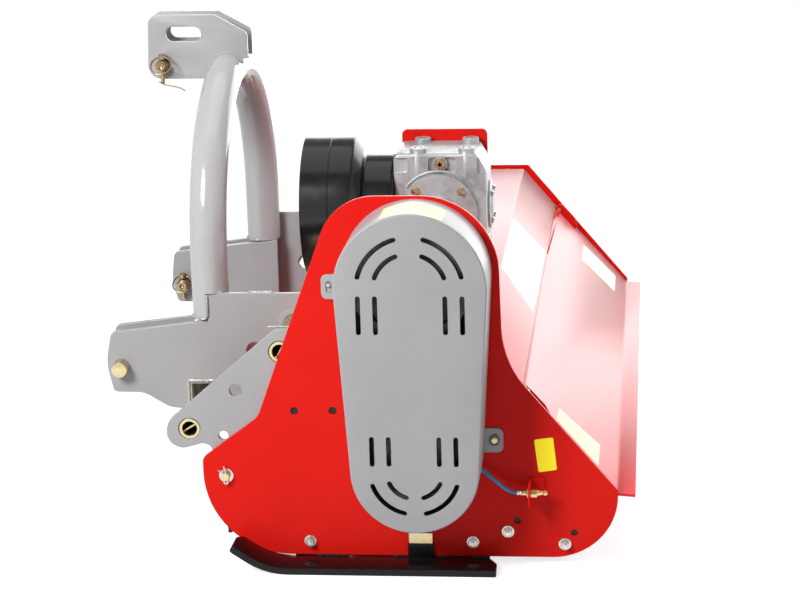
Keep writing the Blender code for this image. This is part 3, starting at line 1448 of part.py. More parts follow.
def build_hose():
    """Make the grease hose, the fin that holds its outer end and the nipple."""
    points = hose_points()
    hose = swept("grease_hose", points, HOSE_R)
    finish(hose, "blue")
    nipple_y = points[-1][1]
    fin_loops = [
        rectangle(-0.060, 0.139, -GAP, 0.184, 0.004),
        circle(nipple_y, NIPPLE_Z, NIPPLE_R + GAP, 12),
    ]
    fin = slab("hose_bracket", fin_loops, HOSE_FIN, HOSE_FIN_X, axis="X")
    foot = block("foot", (HOSE_FIN_X + 0.002, HOSE_FIN_X + 0.030), (-GAP - 0.004, -GAP), (0.139, 0.184))
    fin = add_to(fin, foot)
    finish(fin, "red")
    start = HOSE_FIN_X - 0.0132
    nipple = turned("grease_nipple", [
        (0.0, start),
        (0.0048, start),
        (0.0048, HOSE_FIN_X - 0.004),
        (NIPPLE_HEX_R, HOSE_FIN_X - 0.004),
        (NIPPLE_HEX_R, HOSE_FIN_X - GAP),
        (NIPPLE_R, HOSE_FIN_X - GAP),
        (NIPPLE_R, HOSE_FIN_X + HOSE_FIN + GAP),
        (NIPPLE_HEX_R, HOSE_FIN_X + HOSE_FIN + GAP),
        (NIPPLE_HEX_R, HOSE_FIN_X + 0.017),
        (0.0055, HOSE_FIN_X + 0.019),
        (0.0050, HOSE_FIN_X + 0.035),
        (0.0, HOSE_FIN_X + 0.037),
    ], (0.0, nipple_y, NIPPLE_Z), axis="X", segments=12, closed=False)
    finish(nipple, "brass")


def build_all():
    """Build every sub-part of the machine."""
    build_side_plates()
    build_deck()
    build_rear_hood()
    build_skid("near", 0.0, -1)
    build_skid("far", FAR_FACE_Y, 1)
    build_guide_shafts()
    build_hitch_plates()
    build_crossbar()
    build_hoop()
    build_top_link_plates()
    build_pins()
    build_gearbox()
    build_gearbox_bracket()
    build_shield()
    build_shafts()
    build_pulley("upper_pulley", UPPER_PULLEY_R, DRIVE_Z, SHAFT_R, 0.022)
    build_pulley("lower_pulley", LOWER_PULLEY_R, ROTOR_Z, ROTOR_STUB_R, 0.016)
    build_belts()
    build_belt_cover()
    build_bearings()
    build_rotor()
    build_hammers()
    build_roller()
    build_flaps()
    build_hose()
    centre_footprint()


build_all()
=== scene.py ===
"""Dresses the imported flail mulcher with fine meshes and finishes, in a pale studio.

Design coordinates are those of the machine's drawing: X = 0 on the rotor's axis,
Y = 0 on the near side plate's outer face, Z = 0 on the ground, in metres.
"""

import functools
import logging
import math
import random
from collections.abc import Iterable
from dataclasses import dataclass
from enum import Enum, StrEnum

import bpy
from mathutils import Matrix, Vector

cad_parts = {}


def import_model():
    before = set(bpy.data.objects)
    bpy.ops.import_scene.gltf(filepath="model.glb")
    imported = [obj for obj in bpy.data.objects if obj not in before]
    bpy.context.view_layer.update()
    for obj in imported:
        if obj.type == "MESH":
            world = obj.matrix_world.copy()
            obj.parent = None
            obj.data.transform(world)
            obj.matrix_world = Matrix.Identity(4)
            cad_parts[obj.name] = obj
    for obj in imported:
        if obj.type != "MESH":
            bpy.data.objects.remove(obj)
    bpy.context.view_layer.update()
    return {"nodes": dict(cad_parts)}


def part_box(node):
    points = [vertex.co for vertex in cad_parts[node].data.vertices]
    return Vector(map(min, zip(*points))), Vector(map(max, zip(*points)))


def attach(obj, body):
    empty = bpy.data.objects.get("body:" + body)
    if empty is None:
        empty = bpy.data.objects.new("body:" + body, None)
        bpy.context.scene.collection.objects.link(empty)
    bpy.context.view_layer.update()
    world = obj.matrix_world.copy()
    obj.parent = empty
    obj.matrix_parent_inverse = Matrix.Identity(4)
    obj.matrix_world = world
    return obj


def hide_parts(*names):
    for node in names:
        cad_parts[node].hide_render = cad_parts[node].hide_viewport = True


LOG = logging.getLogger("mulcher")
Point2 = tuple[float, float]
Point3 = tuple[float, float, float]
Corner = tuple[float, float, float]
Colour = tuple[float, float, float]
Loop = list[Point2]
Path3 = list[Point3]
Profile = tuple[Point2, ...]
Mesh = bpy.types.Mesh
Piece = bpy.types.Object
Socket = bpy.types.NodeSocket

# Sizes that several assemblies share
BODY_WIDTH = 1.65
PLATE = 0.008
GAP = 0.0003
SHEET_START = PLATE + GAP
SHEET_END = BODY_WIDTH - PLATE - GAP
HITCH_Y = 0.583
DRIVE_Z = 0.602
ROTOR_Z = 0.24
GUIDE_R = 0.022
GUIDE_BORE_R = 0.0146
LOWER_SHAFT = (-0.464, 0.276)
UPPER_SHAFT = (-0.276, 0.436)

# Edge radii, the angles in degrees above which edges stay sharp, and small reaches in metres
EDGE = 0.0006
CUTTER_EDGE = 0.0001
PLATE_SHARP = 24.0
BOLT_SHARP = 25.0
CUT_SHARP = 28.0
TURNED_SHARP = 32.0
TUBE_SHARP = 50.0
WELD_SHARP = 60.0
BEAD_STEP = 0.0016
FILM_CORNER = 0.003
ON_AXIS = 1e-6
PACKED_SHARP = 33.0
FUSE_REACH = 0.00002

# Where four bolts stand on a round flange, in degrees
QUARTERS = (45.0, 135.0, 225.0, 315.0)


class Axis(Enum):
    """The design axis that a plate is thick along, or that a turned piece turns about."""

    X = "x"
    Y = "y"
    Z = "z"


class Side(StrEnum):
    """An end of the machine. The belts are at the near one."""

    NEAR = "near"
    FAR = "far"

    @property
    def outward(self) -> int:
        """-1 at the near end and 1 at the far one."""
        return -1 if self is Side.NEAR else 1

    @property
    def face(self) -> float:
        """The outer face of this end's side plate, along Y."""
        return 0.0 if self is Side.NEAR else BODY_WIDTH

    def start(self, low: float, high: float) -> float:
        """Return where a plate starts along Y, from its distances inside the outer face.

        Args:
            low: The distance of its outer side, negative outside the face.
            high: The distance of its inner side.

        Returns:
            The lower of its two places.
        """
        return self.face + low if self is Side.NEAR else self.face - high


# Outlines

def corner_arc(before: Vector, corner: Vector, after: Vector, radius: float, steps: int) -> Loop:
    """Round one corner of an outline.

    Args:
        before: The point before the corner.
        corner: The corner.
        after: The point after the corner.
        radius: The fillet's radius.
        steps: How many chords a quarter turn gets.

    Returns:
        The fillet's points, in order.
    """
    to_before = (before - corner).normalized()
    to_after = (after - corner).normalized()
    half = to_before.angle(to_after) / 2
    centre = corner + (to_before + to_after).normalized() * (radius / math.sin(half))
    start = corner + to_before * (radius / math.tan(half)) - centre
    end = corner + to_after * (radius / math.tan(half)) - centre
    first = math.atan2(start.y, start.x)
    sweep = (math.atan2(end.y, end.x) - first + math.pi) % (2 * math.pi) - math.pi
    count = max(1, round(steps * abs(sweep) / (math.pi / 2)))
    angles = [first + sweep * i / count for i in range(count + 1)]
    return [(centre.x + radius * math.cos(a), centre.y + radius * math.sin(a)) for a in angles]


def rounded(corners: list[Corner], steps: int = 10, closed: bool = True) -> Loop:
    """Turn (u, v, radius) corners into points.

    Args:
        corners: The corners with their fillet radii.
        steps: How many chords a quarter turn gets.
        closed: Whether the last corner joins the first.

    Returns:
        The outline's points.
    """
    points: Loop = []
    last = len(corners) - 1
    for index, (u, v, radius) in enumerate(corners):
        if radius <= 0 or (not closed and index in (0, last)):
            points.append((u, v))
            continue
        before = Vector(corners[index - 1][:2])
        after = Vector(corners[(index + 1) % len(corners)][:2])
        points.extend(corner_arc(before, Vector((u, v)), after, radius, steps))
    return points


def arc(u: float, v: float, radius: float, first: float, last: float, count: int) -> Loop:
    """Return points on an arc between two angles in degrees."""
    angles = [math.radians(first + (last - first) * i / count) for i in range(count + 1)]
    return [(u + radius * math.cos(a), v + radius * math.sin(a)) for a in angles]


def circle(u: float, v: float, radius: float, count: int = 48) -> Loop:
    """Return a closed round outline."""
    return arc(u, v, radius, 0, 360 - 360 / count, count - 1)


def rectangle(u0: float, v0: float, u1: float, v1: float, radius: float = 0.0) -> Loop:
    """Return a rectangle with equal corner radii."""
    return rounded([(u0, v0, radius), (u1, v0, radius), (u1, v1, radius), (u0, v1, radius)], 6)


def square(u: float, v: float, half: float, radius: float = 0.0) -> Loop:
    """Return a square around a point, with equal corner radii."""
    return rectangle(u - half, v - half, u + half, v + half, radius)


def slot(path: Loop, width: float, cap: int = 6) -> Loop:
    """Return the outline of a slot with round ends.

    Args:
        path: The slot's centre line.
        width: The slot's width.
        cap: How many chords each round end gets.

    Returns:
        The slot's closed outline.
    """
    spots = [Vector(p) for p in path]
    left: list[Vector] = []
    right: list[Vector] = []
    for index, spot in enumerate(spots):
        ahead = spots[min(index + 1, len(spots) - 1)] - spots[max(index - 1, 0)]
        side = Vector((-ahead.y, ahead.x)).normalized() * width / 2
        left.append(spot + side)
        right.append(spot - side)

    def end(centre: Vector, start: Vector) -> list[Vector]:
        """Return the points of one round end."""
        turns = [Matrix.Rotation(-math.pi * i / cap, 2) for i in range(1, cap)]
        return [centre + turn @ (start - centre) for turn in turns]

    outline = left + end(spots[-1], left[-1]) + right[::-1] + end(spots[0], right[0])
    return [(p.x, p.y) for p in outline]


def strip(path: Loop, thickness: float) -> Loop:
    """Return the section of a bent sheet.

    Args:
        path: What its outer side follows.
        thickness: The sheet's thickness.

    Returns:
        The closed section.
    """
    spots = [Vector(p) for p in path]
    inner: list[Vector] = []
    for index, spot in enumerate(spots):
        before = (spot - spots[index - 1]).normalized() if index else None
        after = (spots[index + 1] - spot).normalized() if index + 1 < len(spots) else None
        first, second = (before or after), (after or before)
        side = Vector((first.y, -first.x))
        lean = (side + Vector((second.y, -second.x))).normalized()
        inner.append(spot + lean * (thickness / lean.dot(side)))
    return [tuple(p) for p in spots + inner[::-1]]


def wrapped(upper_r: float, lower_r: float, upper_z: float, lower_z: float, steps: int) -> Loop:
    """Return the outline that wraps two circles on X = 0, one above the other.

    Args:
        upper_r: The upper circle's radius.
        lower_r: The lower circle's radius.
        upper_z: The upper circle's height.
        lower_z: The lower circle's height.
        steps: How many chords each arc gets.

    Returns:
        The closed outline.
    """
    lean = math.degrees(math.asin((upper_r - lower_r) / (upper_z - lower_z)))
    upper = arc(0.0, upper_z, upper_r, -lean, 180 + lean, steps)
    return upper + arc(0.0, lower_z, lower_r, 180 + lean, 360 - lean, steps)


def mirrored(profile: Loop | Profile, facing: int) -> Loop:
    """Return a turned profile that points along its axis at 1, and against it at -1."""
    return [(radius, facing * distance) for radius, distance in profile]


def rod(radius: float, start: float, end: float, ease: float = 0.0) -> Loop:
    """Return the profile of a round solid, with its last edge eased if ease isn't 0."""
    rim = [(radius, end - ease), (radius - ease, end)] if ease else [(radius, end)]
    return [(0.0, start), (radius, start), *rim, (0.0, end)]


def pipe(outer_r: float, inner_r: float, length: float, ease: float, inner_ease: float) -> Loop:
    """Return the closed profile of a tube with eased ends.

    Args:
        outer_r: The outer radius.
        inner_r: The radius of its bore.
        length: Its length.
        ease: How much the outer edges are cut back.
        inner_ease: How much the bore's edges are cut back.

    Returns:
        The profile.
    """
    return [
        (outer_r, ease), (outer_r, length - ease), (outer_r - ease, length), (inner_r + inner_ease, length),
        (inner_r, length - inner_ease), (inner_r, inner_ease), (inner_r + inner_ease, 0.0), (outer_r - ease, 0.0),
    ]


def around(radius: float, angles: Iterable[float]) -> Loop:
    """Return offsets at a radius and at angles in degrees."""
    turns = [math.radians(angle) for angle in angles]
    return [(radius * math.cos(turn), radius * math.sin(turn)) for turn in turns]


# Meshes

class Shop:
    """Makes meshes in design coordinates and puts them into the frame's place."""

    shift: Vector = Vector((0.0, 0.0, 0.0))

    @classmethod
    def set_up(cls) -> None:
        """Find the design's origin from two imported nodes."""
        low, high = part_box("near_rotor_bearing")
        plate_low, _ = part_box("near_side_plate")
        cls.shift = Vector(((low.x + high.x) / 2, plate_low.y, 0.0))

    @classmethod
    def keep(cls, name: str, mesh: Mesh, sharp_deg: float = TURNED_SHARP) -> Piece:
        """Link a mesh as an object, shade it by angle and shift it to the frame.

        Args:
            name: The piece's name.
            mesh: Its mesh, in design coordinates.
            sharp_deg: Edges sharper than this stay sharp.

        Returns:
            The new object.
        """
        mesh.transform(Matrix.Translation(cls.shift))
        cls.shade(mesh, sharp_deg)
        mesh.name = name
        piece = bpy.data.objects.new(name, mesh)
        bpy.context.scene.collection.objects.link(piece)
        return piece

    @staticmethod
    def shade(mesh: Mesh, sharp_deg: float) -> None:
        """Shade a mesh smooth, except at edges sharper than an angle."""
        mesh.polygons.foreach_set("use_smooth", [True] * len(mesh.polygons))
        mesh.set_sharp_from_angle(angle=math.radians(sharp_deg))

    @staticmethod
    def mesh(spots: Iterable[Vector], faces: list[list[int]]) -> Mesh:
        """Make a mesh from its points and faces.

        Args:
            spots: The points.
            faces: The numbers of each face's points.

        Returns:
            The mesh.
        """
        mesh = bpy.data.meshes.new("piece")
        mesh.from_pydata([tuple(s) for s in spots], [], faces)
        return mesh

    @staticmethod
    def evaluated(piece: Piece) -> Mesh:
        """Return a piece's mesh as its modifiers or its curve make it.

        Args:
            piece: The piece.

        Returns:
            A new mesh.
        """
        bpy.context.view_layer.update()
        graph = bpy.context.evaluated_depsgraph_get()
        return bpy.data.meshes.new_from_object(piece.evaluated_get(graph))

    @staticmethod
    def faces_to_axis(axis: Axis, middle: float) -> Matrix:
        """Return the matrix that stands a flat outline up across an axis.

        Args:
            axis: The axis.
            middle: Where the outline goes along it.

        Returns:
            The matrix.
        """
        if axis is Axis.Y:
            return Matrix.Translation((0.0, middle, 0.0)) @ Matrix.Rotation(math.pi / 2, 4, "X")
        if axis is Axis.X:
            upright = Matrix.Rotation(math.pi / 2, 4, "Z") @ Matrix.Rotation(math.pi / 2, 4, "X")
            return Matrix.Translation((middle, 0.0, 0.0)) @ upright
        return Matrix.Translation((0.0, 0.0, middle))

    @classmethod
    def plate_mesh(
        cls, loops: list[Loop], start: float, thickness: float, axis: Axis = Axis.Y,
        edge: float = EDGE, rounds: int = 1,
    ) -> Mesh:
        """Make a plate's mesh with eased edges.

        Args:
            loops: The outline and the holes.
            start: Where the plate starts along its axis.
            thickness: Its thickness.
            axis: The axis that it is thick along.
            edge: The radius of its edges.
            rounds: How finely the edges are rounded.

        Returns:
            The mesh, in design coordinates.
        """
        curve = bpy.data.curves.new("plate", "CURVE")
        curve.dimensions = "2D"
        curve.fill_mode = "BOTH"
        curve.extrude = thickness / 2 - edge
        curve.bevel_depth = edge
        curve.bevel_resolution = rounds
        curve.offset = -edge
        for loop in loops:
            spline = curve.splines.new("POLY")
            spline.points.add(len(loop) - 1)
            for spot, (u, v) in zip(spline.points, loop):
                spot.co = (u, v, 0.0, 1.0)
            spline.use_cyclic_u = True
        holder = bpy.data.objects.new("outline", curve)
        bpy.context.scene.collection.objects.link(holder)
        mesh = cls.evaluated(holder)
        bpy.data.objects.remove(holder, do_unlink=True)
        bpy.data.curves.remove(curve)
        mesh.transform(cls.faces_to_axis(axis, start + thickness / 2))
        return mesh

    @classmethod
    def plate(
        cls, name: str, loops: list[Loop], start: float, thickness: float, axis: Axis = Axis.Y, edge: float = EDGE
    ) -> Piece:
        """Make a plate as a piece. See plate_mesh for the arguments."""
        return cls.keep(name, cls.plate_mesh(loops, start, thickness, axis, edge), PLATE_SHARP)

    @classmethod
    def turned_mesh(
        cls, profile: Loop | Profile, centre: Point3, axis: Axis, sides: int = 64, closed: bool = False
    ) -> Mesh:
        """Turn a profile of (radius, distance along the axis) points.

        Args:
            profile: The section. An open one starts and ends on the axis.
            centre: A design point on the axis, where the distance is 0.
            axis: The axis to turn about.
            sides: How many flats go round.
            closed: Whether the last point joins the first, as for a ring.

        Returns:
            The mesh, in design coordinates.
        """
        x, y, z = (Vector(row) for row in Matrix.Identity(3))
        across, up, along = {Axis.X: (y, z, x), Axis.Y: (z, x, y), Axis.Z: (x, y, z)}[axis]
        middle = Vector(centre)
        area = sum(a[0] * b[1] - b[0] * a[1] for a, b in zip(profile, profile[1:] + profile[:1]))
        points = profile if area > 0 else profile[::-1]
        turns = [2 * math.pi * i / sides for i in range(sides)]
        outs = [across * math.cos(turn) + up * math.sin(turn) for turn in turns]
        spots: list[Vector] = []
        rings: list[list[int]] = []
        for radius, distance in points:
            count = 1 if radius < ON_AXIS else sides
            rings.append(list(range(len(spots), len(spots) + count)))
            spots += [middle + along * distance + out * radius for out in outs[:count]]
        faces: list[list[int]] = []
        pairs = list(zip(rings, rings[1:])) + ([(rings[-1], rings[0])] if closed else [])
        for first, second in pairs:
            for i in range(sides):
                j = (i + 1) % sides
                quad = [ring[k % len(ring)] for ring, k in ((first, i), (first, j), (second, j), (second, i))]
                face = list(dict.fromkeys(quad))
                if len(face) > 2:
                    faces.append(face)
        return cls.mesh(spots, faces)

    @classmethod
    def turned(
        cls, name: str, profile: Loop | Profile, centre: Point3, axis: Axis = Axis.Y, sides: int = 64,
        closed: bool = False,
    ) -> Piece:
        """Make a turned piece. See turned_mesh for the arguments."""
        return cls.keep(name, cls.turned_mesh(profile, centre, axis, sides, closed))

    @classmethod
    def tube_mesh(
        cls, points: Iterable[Point3], radii: list[float] | float, sides: int = 16, cyclic: bool = False
    ) -> Mesh:
        """Sweep a circle along points.

        Args:
            points: The centre line.
            radii: One radius, or one for each point.
            sides: How many flats go round.
            cyclic: Whether the tube closes on itself.

        Returns:
            The mesh, with capped ends unless it closes.
        """
        line = [Vector(p) for p in points]
        count = len(line)
        sizes = [radii] * count if isinstance(radii, float) else radii
        spots: list[Vector] = []
        side = None
        for index, spot in enumerate(line):
            ahead = line[(index + 1) % count] if cyclic or index + 1 < count else spot
            behind = line[index - 1] if cyclic or index else spot
            forward = (ahead - behind).normalized()
            if side is None:
                side = forward.orthogonal().normalized()
            side = (side - forward * side.dot(forward)).normalized()
            other = forward.cross(side)
            for i in range(sides):
                angle = 2 * math.pi * i / sides
                spots.append(spot + (side * math.cos(angle) + other * math.sin(angle)) * sizes[index])
        faces: list[list[int]] = []
        for ring in range(count if cyclic else count - 1):
            a, b = ring * sides, (ring + 1) % count * sides
            faces += [[a + i, a + (i + 1) % sides, b + (i + 1) % sides, b + i] for i in range(sides)]
        if not cyclic:
            faces.append(list(range(sides))[::-1])
            faces.append([(count - 1) * sides + i for i in range(sides)])
        return cls.mesh(spots, faces)

    @classmethod
    def tube(cls, name: str, points: Path3, radius: float, sides: int) -> Piece:
        """Make a swept tube as a piece. See tube_mesh for the arguments."""
        return cls.keep(name, cls.tube_mesh(points, radius, sides), TUBE_SHARP)

    @classmethod
    def merged(cls, meshes: list[Mesh]) -> Mesh:
        """Put several meshes into one.

        Args:
            meshes: The meshes, which are used up.

        Returns:
            The new mesh.
        """
        spots: list[Vector] = []
        faces: list[list[int]] = []
        for mesh in meshes:
            base = len(spots)
            spots.extend(v.co.copy() for v in mesh.vertices)
            faces.extend([base + i for i in p.vertices] for p in mesh.polygons)
            bpy.data.meshes.remove(mesh)
        return cls.mesh(spots, faces)

    @classmethod
    def cut(cls, target: Piece, cutters: list[Piece], union: bool = False) -> Piece:
        """Take cutters out of a piece, or join them to it, and apply the result.

        Args:
            target: The piece.
            cutters: The other solids, which are used up.
            union: Join instead of cutting.

        Returns:
            The same piece with its new mesh.
        """
        for cutter in cutters:
            change = target.modifiers.new("shape", "BOOLEAN")
            change.operation = "UNION" if union else "DIFFERENCE"
            change.solver = "EXACT"
            change.object = cutter
        mesh = cls.evaluated(target)
        target.modifiers.clear()
        target.data = mesh
        for cutter in cutters:
            bpy.data.objects.remove(cutter, do_unlink=True)
        cls.shade(mesh, CUT_SHARP)
        return target


# Finishes

class Nodes:
    """The nodes of a material or a world, with short calls for adding and linking."""

    def __init__(self, name: str, world: bool = False) -> None:
        """Start a material or a world with its usual shader.

        Args:
            name: Its name.
            world: Whether it is a world.
        """
        self.owner = (bpy.data.worlds if world else bpy.data.materials).new(name)
        self.owner.use_nodes = True
        self.tree = self.owner.node_tree
        self.shader = self.tree.nodes["Background" if world else "Principled BSDF"]
        self.place = self.add("ShaderNodeTexCoord").outputs["Generated" if world else "Object"]

    def add(self, kind: str, **values: object) -> bpy.types.Node:
        """Add a node and set its properties.

        Args:
            kind: The node's type.
            values: Its properties by name.

        Returns:
            The node.
        """
        node = self.tree.nodes.new(kind)
        for key, value in values.items():
            setattr(node, key, value)
        return node

    def join(self, source: object, target: object) -> None:
        """Link a source to a target socket, or set a constant on it.

        Args:
            source: A socket or a constant.
            target: The input socket.
        """
        if isinstance(source, Socket):
            self.tree.links.new(source, target)
        else:
            target.default_value = source

    def noise(self, scale: float, detail: float = 4.0, rough: float = 0.55, stretch: object = None) -> Socket:
        """Return a noise value.

        Args:
            scale: How many features there are in a metre.
            detail: How many octaves are added.
            rough: How strong the finer octaves are.
            stretch: The scale along each axis, if it isn't even.

        Returns:
            The value's socket.
        """
        spot = self.place
        if stretch is not None:
            turn = self.add("ShaderNodeMapping")
            self.fill(turn, Vector=spot, Scale=stretch)
            spot = turn.outputs["Vector"]
        node = self.add("ShaderNodeTexNoise")
        self.fill(node, Vector=spot, Scale=scale, Detail=detail, Roughness=rough)
        return node.outputs["Fac"]

    def ramp(self, value: object, low: float, high: float, start: float = 0.0, end: float = 1.0) -> Socket:
        """Map a value between two limits to a new range.

        Args:
            value: The value's socket.
            low: The lower limit.
            high: The upper limit.
            start: The result at the lower limit.
            end: The result at the upper limit.

        Returns:
            The result's socket.
        """
        node = self.add("ShaderNodeMapRange")
        self.fill(node, From_Min=low, From_Max=high, To_Min=start, To_Max=end, Value=value)
        return node.outputs["Result"]

    def mix(self, share: object, first: object, second: object) -> Socket:
        """Mix two colours.

        Args:
            share: How much of the second colour there is.
            first: A colour or its socket.
            second: A colour or its socket.

        Returns:
            The mixed colour's socket.
        """
        node = self.add("ShaderNodeMix", data_type="RGBA")
        self.join(share, node.inputs[0])
        for index, colour in ((6, first), (7, second)):
            value = colour if isinstance(colour, Socket) else (*colour, 1.0)
            self.join(value, node.inputs[index])
        return node.outputs[2]

    def both(self, operation: str, first: object, second: object) -> Socket:
        """Put two values together with a math node.

        Args:
            operation: What the node does.
            first: The first value's socket.
            second: The second value's socket.

        Returns:
            The result's socket.
        """
        node = self.add("ShaderNodeMath", operation=operation)
        self.join(first, node.inputs[0])
        self.join(second, node.inputs[1])
        return node.outputs[0]

    def seen_share(self) -> Socket:
        """Return 1 for rays that show the background, and 0 for the others.

        Returns:
            The value's socket.
        """
        rays = self.add("ShaderNodeLightPath").outputs
        total = rays["Is Camera Ray"]
        for kind in ("Is Glossy Ray", "Is Transmission Ray"):
            total = self.both("MAXIMUM", total, rays[kind])
        return total

    def bump(self, *layers: tuple[object, float, float]) -> None:
        """Stack bumps on the shader.

        Args:
            layers: The height, the strength and the distance of each bump.
        """
        normal = None
        for height, strength, distance in layers:
            node = self.add("ShaderNodeBump")
            self.fill(node, Strength=strength, Distance=distance, Height=height)
            if normal is not None:
                self.join(normal, node.inputs["Normal"])
            normal = node.outputs["Normal"]
        self.join(normal, self.shader.inputs["Normal"])

    def fill(self, node: bpy.types.Node, **values: object) -> None:
        """Set or link a node's input sockets, named with underscores."""
        for key, value in values.items():
            self.join(value, node.inputs[key.replace("_", " ")])


@dataclass(frozen=True)
class Finish:
    """What every finish has: its name, a slot name, its colour and its material."""

    name: str
    slot: str
    colour: Colour

    @functools.cache
    def material(self) -> bpy.types.Material:
        """Return the material, made at its first use.

        Returns:
            The material.
        """
        nodes = Nodes(self.name)
        self.fill(nodes)
        return nodes.owner

    def fill(self, nodes: Nodes) -> None:
        """Set the material's nodes up, in each kind of finish's own way."""
        raise NotImplementedError


@dataclass(frozen=True)
class Paint(Finish):
    """Powder coat or gloss paint on sheet and tube."""

    shade: Colour
    rough: float = 0.3
    ior: float = 1.45
    peel: float = 0.12
    specks: float = 0.0
    sheen: float = 0.0

    def fill(self, nodes: Nodes) -> None:
        """Make the paint with its cloudiness, orange peel and handling marks."""
        clouds = nodes.ramp(nodes.noise(5.0, 5.0), 0.35, 0.7)
        base = nodes.mix(clouds, self.colour, self.shade)
        scuffs = nodes.ramp(nodes.noise(38.0, 6.0, 0.7, (1.0, 1.0, 6.0)), 0.66, 0.8, 0.0, 0.3 * self.specks)
        pale = tuple(min(1.0, c * 0.6 + 0.25) for c in self.colour)
        base = nodes.mix(scuffs, base, pale)
        wear = 1.0 - self.sheen
        smooth, worn = self.rough * (1 - 0.03 * wear), self.rough * (1 + 0.05 * wear)
        rough = nodes.ramp(nodes.noise(22.0, 2.0), 0.3, 0.75, smooth, worn)
        nodes.fill(nodes.shader, Base_Color=base, Roughness=rough, IOR=self.ior, Sheen_Weight=self.sheen)
        nodes.fill(nodes.shader, Sheen_Roughness=0.4, Sheen_Tint=(1.0, 0.86, 0.87, 1.0))
        nodes.bump((nodes.noise(420.0, 2.0), self.peel, 0.0004), (nodes.noise(6.0, 2.0), 0.05 * wear, 0.004))


@dataclass(frozen=True)
class Plated(Finish):
    """Zinc plating or bare machined metal, with stains and drawn marks."""

    tint: Colour
    rough: float = 0.28
    grain: float = 0.2

    def fill(self, nodes: Nodes) -> None:
        """Make the metal with its patchy tint and fine scratches."""
        patches = nodes.ramp(nodes.noise(70.0, 4.0, 0.6), 0.35, 0.68)
        base = nodes.mix(patches, self.colour, self.tint)
        soot = nodes.ramp(nodes.noise(160.0, 5.0, 0.7), 0.6, 0.78, 0.0, 0.55)
        base = nodes.mix(soot, base, tuple(c * 0.35 for c in self.colour))
        rough = nodes.ramp(nodes.noise(240.0, 4.0), 0.3, 0.7, self.rough * 0.8, self.rough * 1.5)
        nodes.fill(nodes.shader, Base_Color=base, Roughness=rough, Metallic=1.0)
        nodes.bump((nodes.noise(900.0, 3.0, 0.6, (1.0, 0.15, 1.0)), self.grain, 0.0003))


@dataclass(frozen=True)
class Cast(Finish):
    """A silver-painted or dark forged surface with its casting skin."""

    dirt: Colour
    rough: float = 0.38
    metallic: float = 0.55
    skin: float = 0.35

    def fill(self, nodes: Nodes) -> None:
        """Make the skin with pits, grime and worn patches."""
        grime = nodes.ramp(nodes.noise(26.0, 8.0, 0.68), 0.5, 0.74, 0.0, 0.85)
        base = nodes.mix(grime, self.colour, self.dirt)
        rough = nodes.ramp(nodes.noise(60.0, 5.0), 0.3, 0.7, self.rough * 0.8, self.rough * 1.4)
        nodes.fill(nodes.shader, Base_Color=base, Roughness=rough, Metallic=self.metallic)
        nodes.bump((nodes.noise(330.0, 5.0, 0.65), self.skin, 0.0007), (nodes.noise(40.0, 3.0), 0.18, 0.002))


@dataclass(frozen=True)
class Moulded(Finish):
    """Moulded plastic, rubber or a nylon hose."""

    dust: Colour
    rough: float = 0.42
    dust_share: float = 0.25
    texture: float = 0.15
    ior: float = 1.45

    def fill(self, nodes: Nodes) -> None:
        """Make the plastic with its mould texture and a trace of dust."""
        veil = nodes.ramp(nodes.noise(14.0, 7.0, 0.7), 0.48, 0.8, 0.0, self.dust_share)
        base = nodes.mix(veil, self.colour, self.dust)
        rough = nodes.ramp(nodes.noise(30.0, 6.0), 0.3, 0.75, self.rough * 0.85, self.rough * 1.3)
        nodes.fill(nodes.shader, Base_Color=base, Roughness=rough, IOR=self.ior)
        nodes.bump((nodes.noise(600.0, 3.0), self.texture, 0.0004), (nodes.noise(9.0, 2.0), 0.06, 0.004))


@dataclass(frozen=True)
class Sticker(Finish):
    """A blank printed film."""

    rough: float = 0.35
    # bright is the strength of a painted glow: the film emits its own colour, though it is no lamp.
    bright: float = 0.0

    def fill(self, nodes: Nodes) -> None:
        """Make the film with faint creases and rubbed spots, and a painted glow in its own colour."""
        rubbed = nodes.ramp(nodes.noise(90.0, 6.0, 0.7), 0.56, 0.8, 0.0, 0.45)
        base = nodes.mix(rubbed, self.colour, tuple(min(1.0, c * 0.85 + 0.12) for c in self.colour))
        rough = nodes.ramp(nodes.noise(50.0), 0.3, 0.7, self.rough, self.rough * 1.5)
        nodes.fill(nodes.shader, Base_Color=base, Roughness=rough)
        # Painted glow: emission in the film's own colour.
        nodes.fill(nodes.shader, Emission_Color=(*self.colour, 1.0), Emission_Strength=self.bright)
        nodes.bump((nodes.noise(55.0, 3.0, 0.5, (1.0, 1.0, 0.3)), 0.25, 0.0008))


